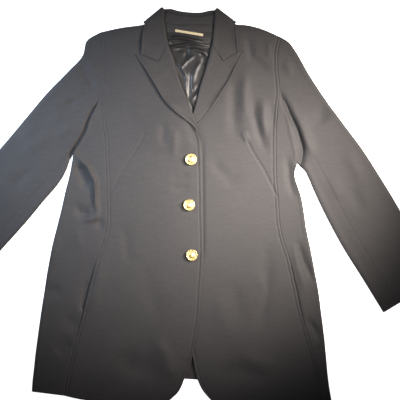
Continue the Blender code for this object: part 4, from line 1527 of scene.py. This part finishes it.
# %% Shader sums
class Signal:
    """A socket that takes part in Python sums."""

    def __init__(self, finish, socket):
        self.finish, self.socket = finish, socket

    def sum(self, operation, first, second):
        values = {0: first, 1: second}
        return self.finish.node("ShaderNodeMath", {"operation": operation}, values)

    def __add__(self, other):
        return self.sum("ADD", self, other)

    def __sub__(self, other):
        return self.sum("SUBTRACT", self, other)

    def __rsub__(self, other):
        return self.sum("SUBTRACT", other, self)

    def __mul__(self, other):
        return self.sum("MULTIPLY", self, other)

    __radd__ = __add__
    __rmul__ = __mul__


class Finish:
    """A material whose nodes are added one by one."""

    def __init__(self, name, **constants):
        self.material = bpy.data.materials.new(name)
        self.material.use_nodes = True
        self.tree = self.material.node_tree
        self.shader = self.tree.nodes["Principled BSDF"]
        for socket, value in constants.items():
            self.shader.inputs[socket.replace("_", " ")].default_value = value

    def node(self, kind, settings=None, values=None, output=0):
        """Add a node: its settings first, then the values or links of its sockets."""
        added = self.tree.nodes.new(kind)
        for name, value in (settings or {}).items():
            if name == "stops":
                ramp_of = added.color_ramp
                while len(ramp_of.elements) < len(value):
                    ramp_of.elements.new(0.5)
                for stop, (place, colour) in zip(ramp_of.elements, value):
                    stop.position, stop.color = place, colour
            else:
                setattr(added, name, value)
        for socket, value in (values or {}).items():
            self.give(added.inputs[socket], value)
        return Signal(self, added.outputs[output])

    def give(self, socket, value):
        if isinstance(value, Signal):
            self.tree.links.new(value.socket, socket)
        else:
            socket.default_value = value

    def noise(self, place, scale, detail):
        """A noise that varies over the piece."""
        return self.node("ShaderNodeTexNoise", None, {"Vector": place, "Scale": scale, "Detail": detail})

    def shade(self, share, dark, light):
        """A colour between two shades."""
        values = {0: share, 6: dark, 7: light}
        return self.node("ShaderNodeMix", {"data_type": "RGBA"}, values, output=2)

    def feed(self, **links):
        for socket, value in links.items():
            self.give(self.shader.inputs[socket.replace("_", " ")], value)
        return self.material


print("sums a signal can take: add, subtract, multiply")

# %% [markdown]
# A dark cloth is never one flat colour. Four noises of different size share it out: slow clouds,
# mottling, picks drawn out along the weft, and single fibres. The pressed facing has the same
# cloth with its twill turned, the satin is darker and smoother, and the label's tape is left bare.

# %% Cloth finishes
TWILL_RIB = 0.75
# A wave texture at scale 1 has about this many bands to a metre
WAVE_BANDS = 3.18
CLOUD_NOISE = 9.0
THREAD_NOISE = 420
MOTTLE_NOISE = 130
PICK_NOISE = 330
PICK_DRAWN = (0.12, 1, 1)
BUMP_DISTANCE = 0.0003


def woven(name, dark, light, roughness, rib=TWILL_RIB, slant=63, relief=0.25, **constants):
    """A woven cloth whose colour wanders between two shades."""
    made = Finish(name, **constants)
    flat = made.node("ShaderNodeUVMap", {"uv_map": "cloth"})
    place = made.node("ShaderNodeTexCoord", output="Object")
    slanted = made.node(
        "ShaderNodeMapping", None, {"Vector": flat, "Rotation": (0, 0, math.radians(slant))},
    )
    ribs = made.node(
        "ShaderNodeTexWave",
        {"wave_type": "BANDS", "bands_direction": "X", "wave_profile": "SIN"},
        {"Vector": slanted, "Scale": 1000 / (rib * WAVE_BANDS), "Distortion": 0.6, "Detail": 1.0},
    )
    cloudy = made.noise(place, CLOUD_NOISE, 4.0)
    fibres = made.noise(place, THREAD_NOISE, 2.0)
    mottled = made.noise(place, MOTTLE_NOISE, 3.0)
    drawn = made.node("ShaderNodeMapping", None, {"Vector": place, "Scale": PICK_DRAWN})
    picks = made.noise(drawn, PICK_NOISE, 2.0)
    share = cloudy * 0.25 + mottled * 0.25 + picks * 0.3 + fibres * 0.2
    colour = made.shade(share, dark, light)
    height = ribs * 0.4 + mottled * 1.2 + fibres * 0.4
    bump = made.node(
        "ShaderNodeBump", None, {"Height": height, "Strength": relief, "Distance": BUMP_DISTANCE},
    )
    return made.feed(Base_Color=colour, Roughness=(cloudy * 0.1) + roughness, Normal=bump)


SHEEN = {"Specular_IOR_Level": 0.3, "Sheen_Weight": 0.05, "Sheen_Roughness": 0.45}
twill = woven(
    "charcoal twill", (0.013, 0.0125, 0.013, 1), (0.050, 0.0480, 0.0485, 1), 0.65,
    Sheen_Tint=(0.75, 0.77, 0.8, 1), **SHEEN,
)
facing = woven(
    "pressed charcoal twill", (0.013, 0.0125, 0.0125, 1), (0.050, 0.0472, 0.0470, 1), 0.65,
    slant=40, Sheen_Tint=(0.78, 0.77, 0.76, 1), **SHEEN,
)
satin = woven(
    "charcoal satin", (0.008, 0.0078, 0.008, 1), (0.018, 0.0172, 0.017, 1), 0.36,
    rib=0.3, relief=0.05,
)
tape = woven(
    "cream tape", (0.30, 0.22, 0.10, 1), (0.74, 0.66, 0.43, 1), 0.6,
    rib=0.6, slant=90, relief=0.3,
)
print("cloth finishes:", [made.name for made in (twill, facing, satin, tape)])

# %% [markdown]
# The buttons are worn gilt and the stitches are dull thread a little lighter than the cloth.

# %% Metal and thread, and painting
GILT_NOISE = 260.0
SPUN_NOISE = 900.0
THREAD_GREY = 0.03


def gilt_finish():
    """Gilt metal, in places rubbed brighter than in others."""
    made = Finish("worn gilt", Metallic=1.0)
    place = made.node("ShaderNodeTexCoord", output="Object")
    worn = made.noise(place, GILT_NOISE, 3.0)
    colour = made.shade(worn, (0.52, 0.36, 0.14, 1), (0.84, 0.65, 0.33, 1))
    return made.feed(Base_Color=colour, Roughness=worn * 0.2 + 0.38)


def thread_finish():
    """Thread, lighter and darker by a little along its twist."""
    made = Finish("charcoal thread")
    place = made.node("ShaderNodeTexCoord", output="Object")
    spun = made.noise(place, SPUN_NOISE, 2.0)
    dark, light = ((THREAD_GREY * k, THREAD_GREY * k, THREAD_GREY * k, 1) for k in (0.8, 1.3))
    return made.feed(Base_Color=made.shade(spun, dark, light), Roughness=spun * 0.2 + 0.4)


gilt = gilt_finish()
thread = thread_finish()


def paint(pieces, material):
    for piece in pieces:
        piece.data.materials.clear()
        piece.data.materials.append(material)


paint([back_piece, *fronts.values(), *side_panels.values(), *sleeves.values()], twill)
paint([*lapels.values(), *collar, inside[0], *pockets], facing)
paint([inside[1]], satin)
paint([inside[2]], tape)
paint(buttons, gilt)
paint(threads, thread)
print("thread pieces painted:", len(threads))

# %% [markdown]
# The blazer lies on a plain pale floor, seen from straight above. The floor glows a little past
# white, so it keeps no shadows.

# %% Floor
FLOOR_WIDTH = 6.0
FLOOR_DROP = 0.0002


def studio_floor():
    shape = bmesh.new()
    bmesh.ops.create_grid(shape, x_segments=1, y_segments=1, size=FLOOR_WIDTH / 2)
    bmesh.ops.translate(shape, verts=shape.verts, vec=(0, 0, -FLOOR_DROP))
    floor = new_piece("floor", shape)
    made = Finish("pale floor", Roughness=0.9, Emission_Strength=1.1)
    made.shader.inputs["Base Color"].default_value = (0.85, 0.85, 0.85, 1)
    made.shader.inputs["Emission Color"].default_value = (1, 1, 1, 1)
    floor.data.materials.append(made.material)
    return floor


floor = studio_floor()
print("floor:", FLOOR_WIDTH, "m wide")

# %% [markdown]
# Three square lamps with narrow beams light the cloth. One stands high over the left sleeve and
# points at the chest, a cool one leans in from the wearer's right and a small warm one from the
# left. Their beams fade towards the hem and the sleeves' ends, so the cloth is brightest at the
# chest.

# %% Lights
# Name, place, what it points at, width and height, spread in degrees, watts, colour
LIGHTS = (
    ("overhead light", (0.50, 0.05, 1.15), (0.07, 0.02, 0.0), (0.3, 0.3), 42, 1.9, (1.0, 0.92, 0.86)),
    ("cool side light", (-0.9, 0.35, 0.7), (-0.36, 0.13, 0.0), (0.3, 0.3), 54, 2.1, (0.66, 0.80, 1.0)),
    ("warm key light", (0.75, 0.28, 0.70), (0.05, 0.04, 0.0), (0.14, 0.14), 47, 2.9, (1.0, 0.89, 0.81)),
)


def area_light(name, place, target, size, spread, power, colour):
    lamp = bpy.data.lights.new(name, "AREA")
    lamp.shape = "RECTANGLE"
    lamp.size, lamp.size_y = size
    lamp.spread = math.radians(spread)
    lamp.energy, lamp.color = power, colour
    stand = bpy.data.objects.new(name, lamp)
    stand.location = place
    stand.rotation_euler = (Vector(target) - Vector(place)).to_track_quat("-Z", "Y").to_euler()
    bpy.context.collection.objects.link(stand)
    return stand


lights = [area_light(*light) for light in LIGHTS]
STUDIO_GLOW = 0.02
world = bpy.data.worlds.new("studio")
world.use_nodes = True
background = world.node_tree.nodes["Background"]
background.inputs["Color"].default_value = (1, 1, 1, 1)
background.inputs["Strength"].default_value = STUDIO_GLOW
bpy.context.scene.world = world
bpy.context.scene.view_settings.view_transform = "Standard"
print("lamps:", len(lights))

# %% [markdown]
# The camera looks straight down. Its lens is worked out from how much of the cloth the photo's
# frame shows, so the blazer keeps its real size.

# %% Camera
PHOTO_WIDTH = 0.880
CAMERA_HEIGHT = 2.0


def camera():
    """Straight above the middle of the photo, so that its frame is PHOTO_WIDTH at the cloth."""
    lens = bpy.data.cameras.new("photo")
    distance = CAMERA_HEIGHT - FRONT_TOP * MM
    lens.lens = lens.sensor_width * distance / PHOTO_WIDTH
    seen = bpy.data.objects.new("photo", lens)
    seen.location = (0, 0, CAMERA_HEIGHT)
    bpy.context.collection.objects.link(seen)
    bpy.context.scene.camera = seen
    return seen


seen_from = camera()
print("lens:", round(seen_from.data.lens, 1), "mm")
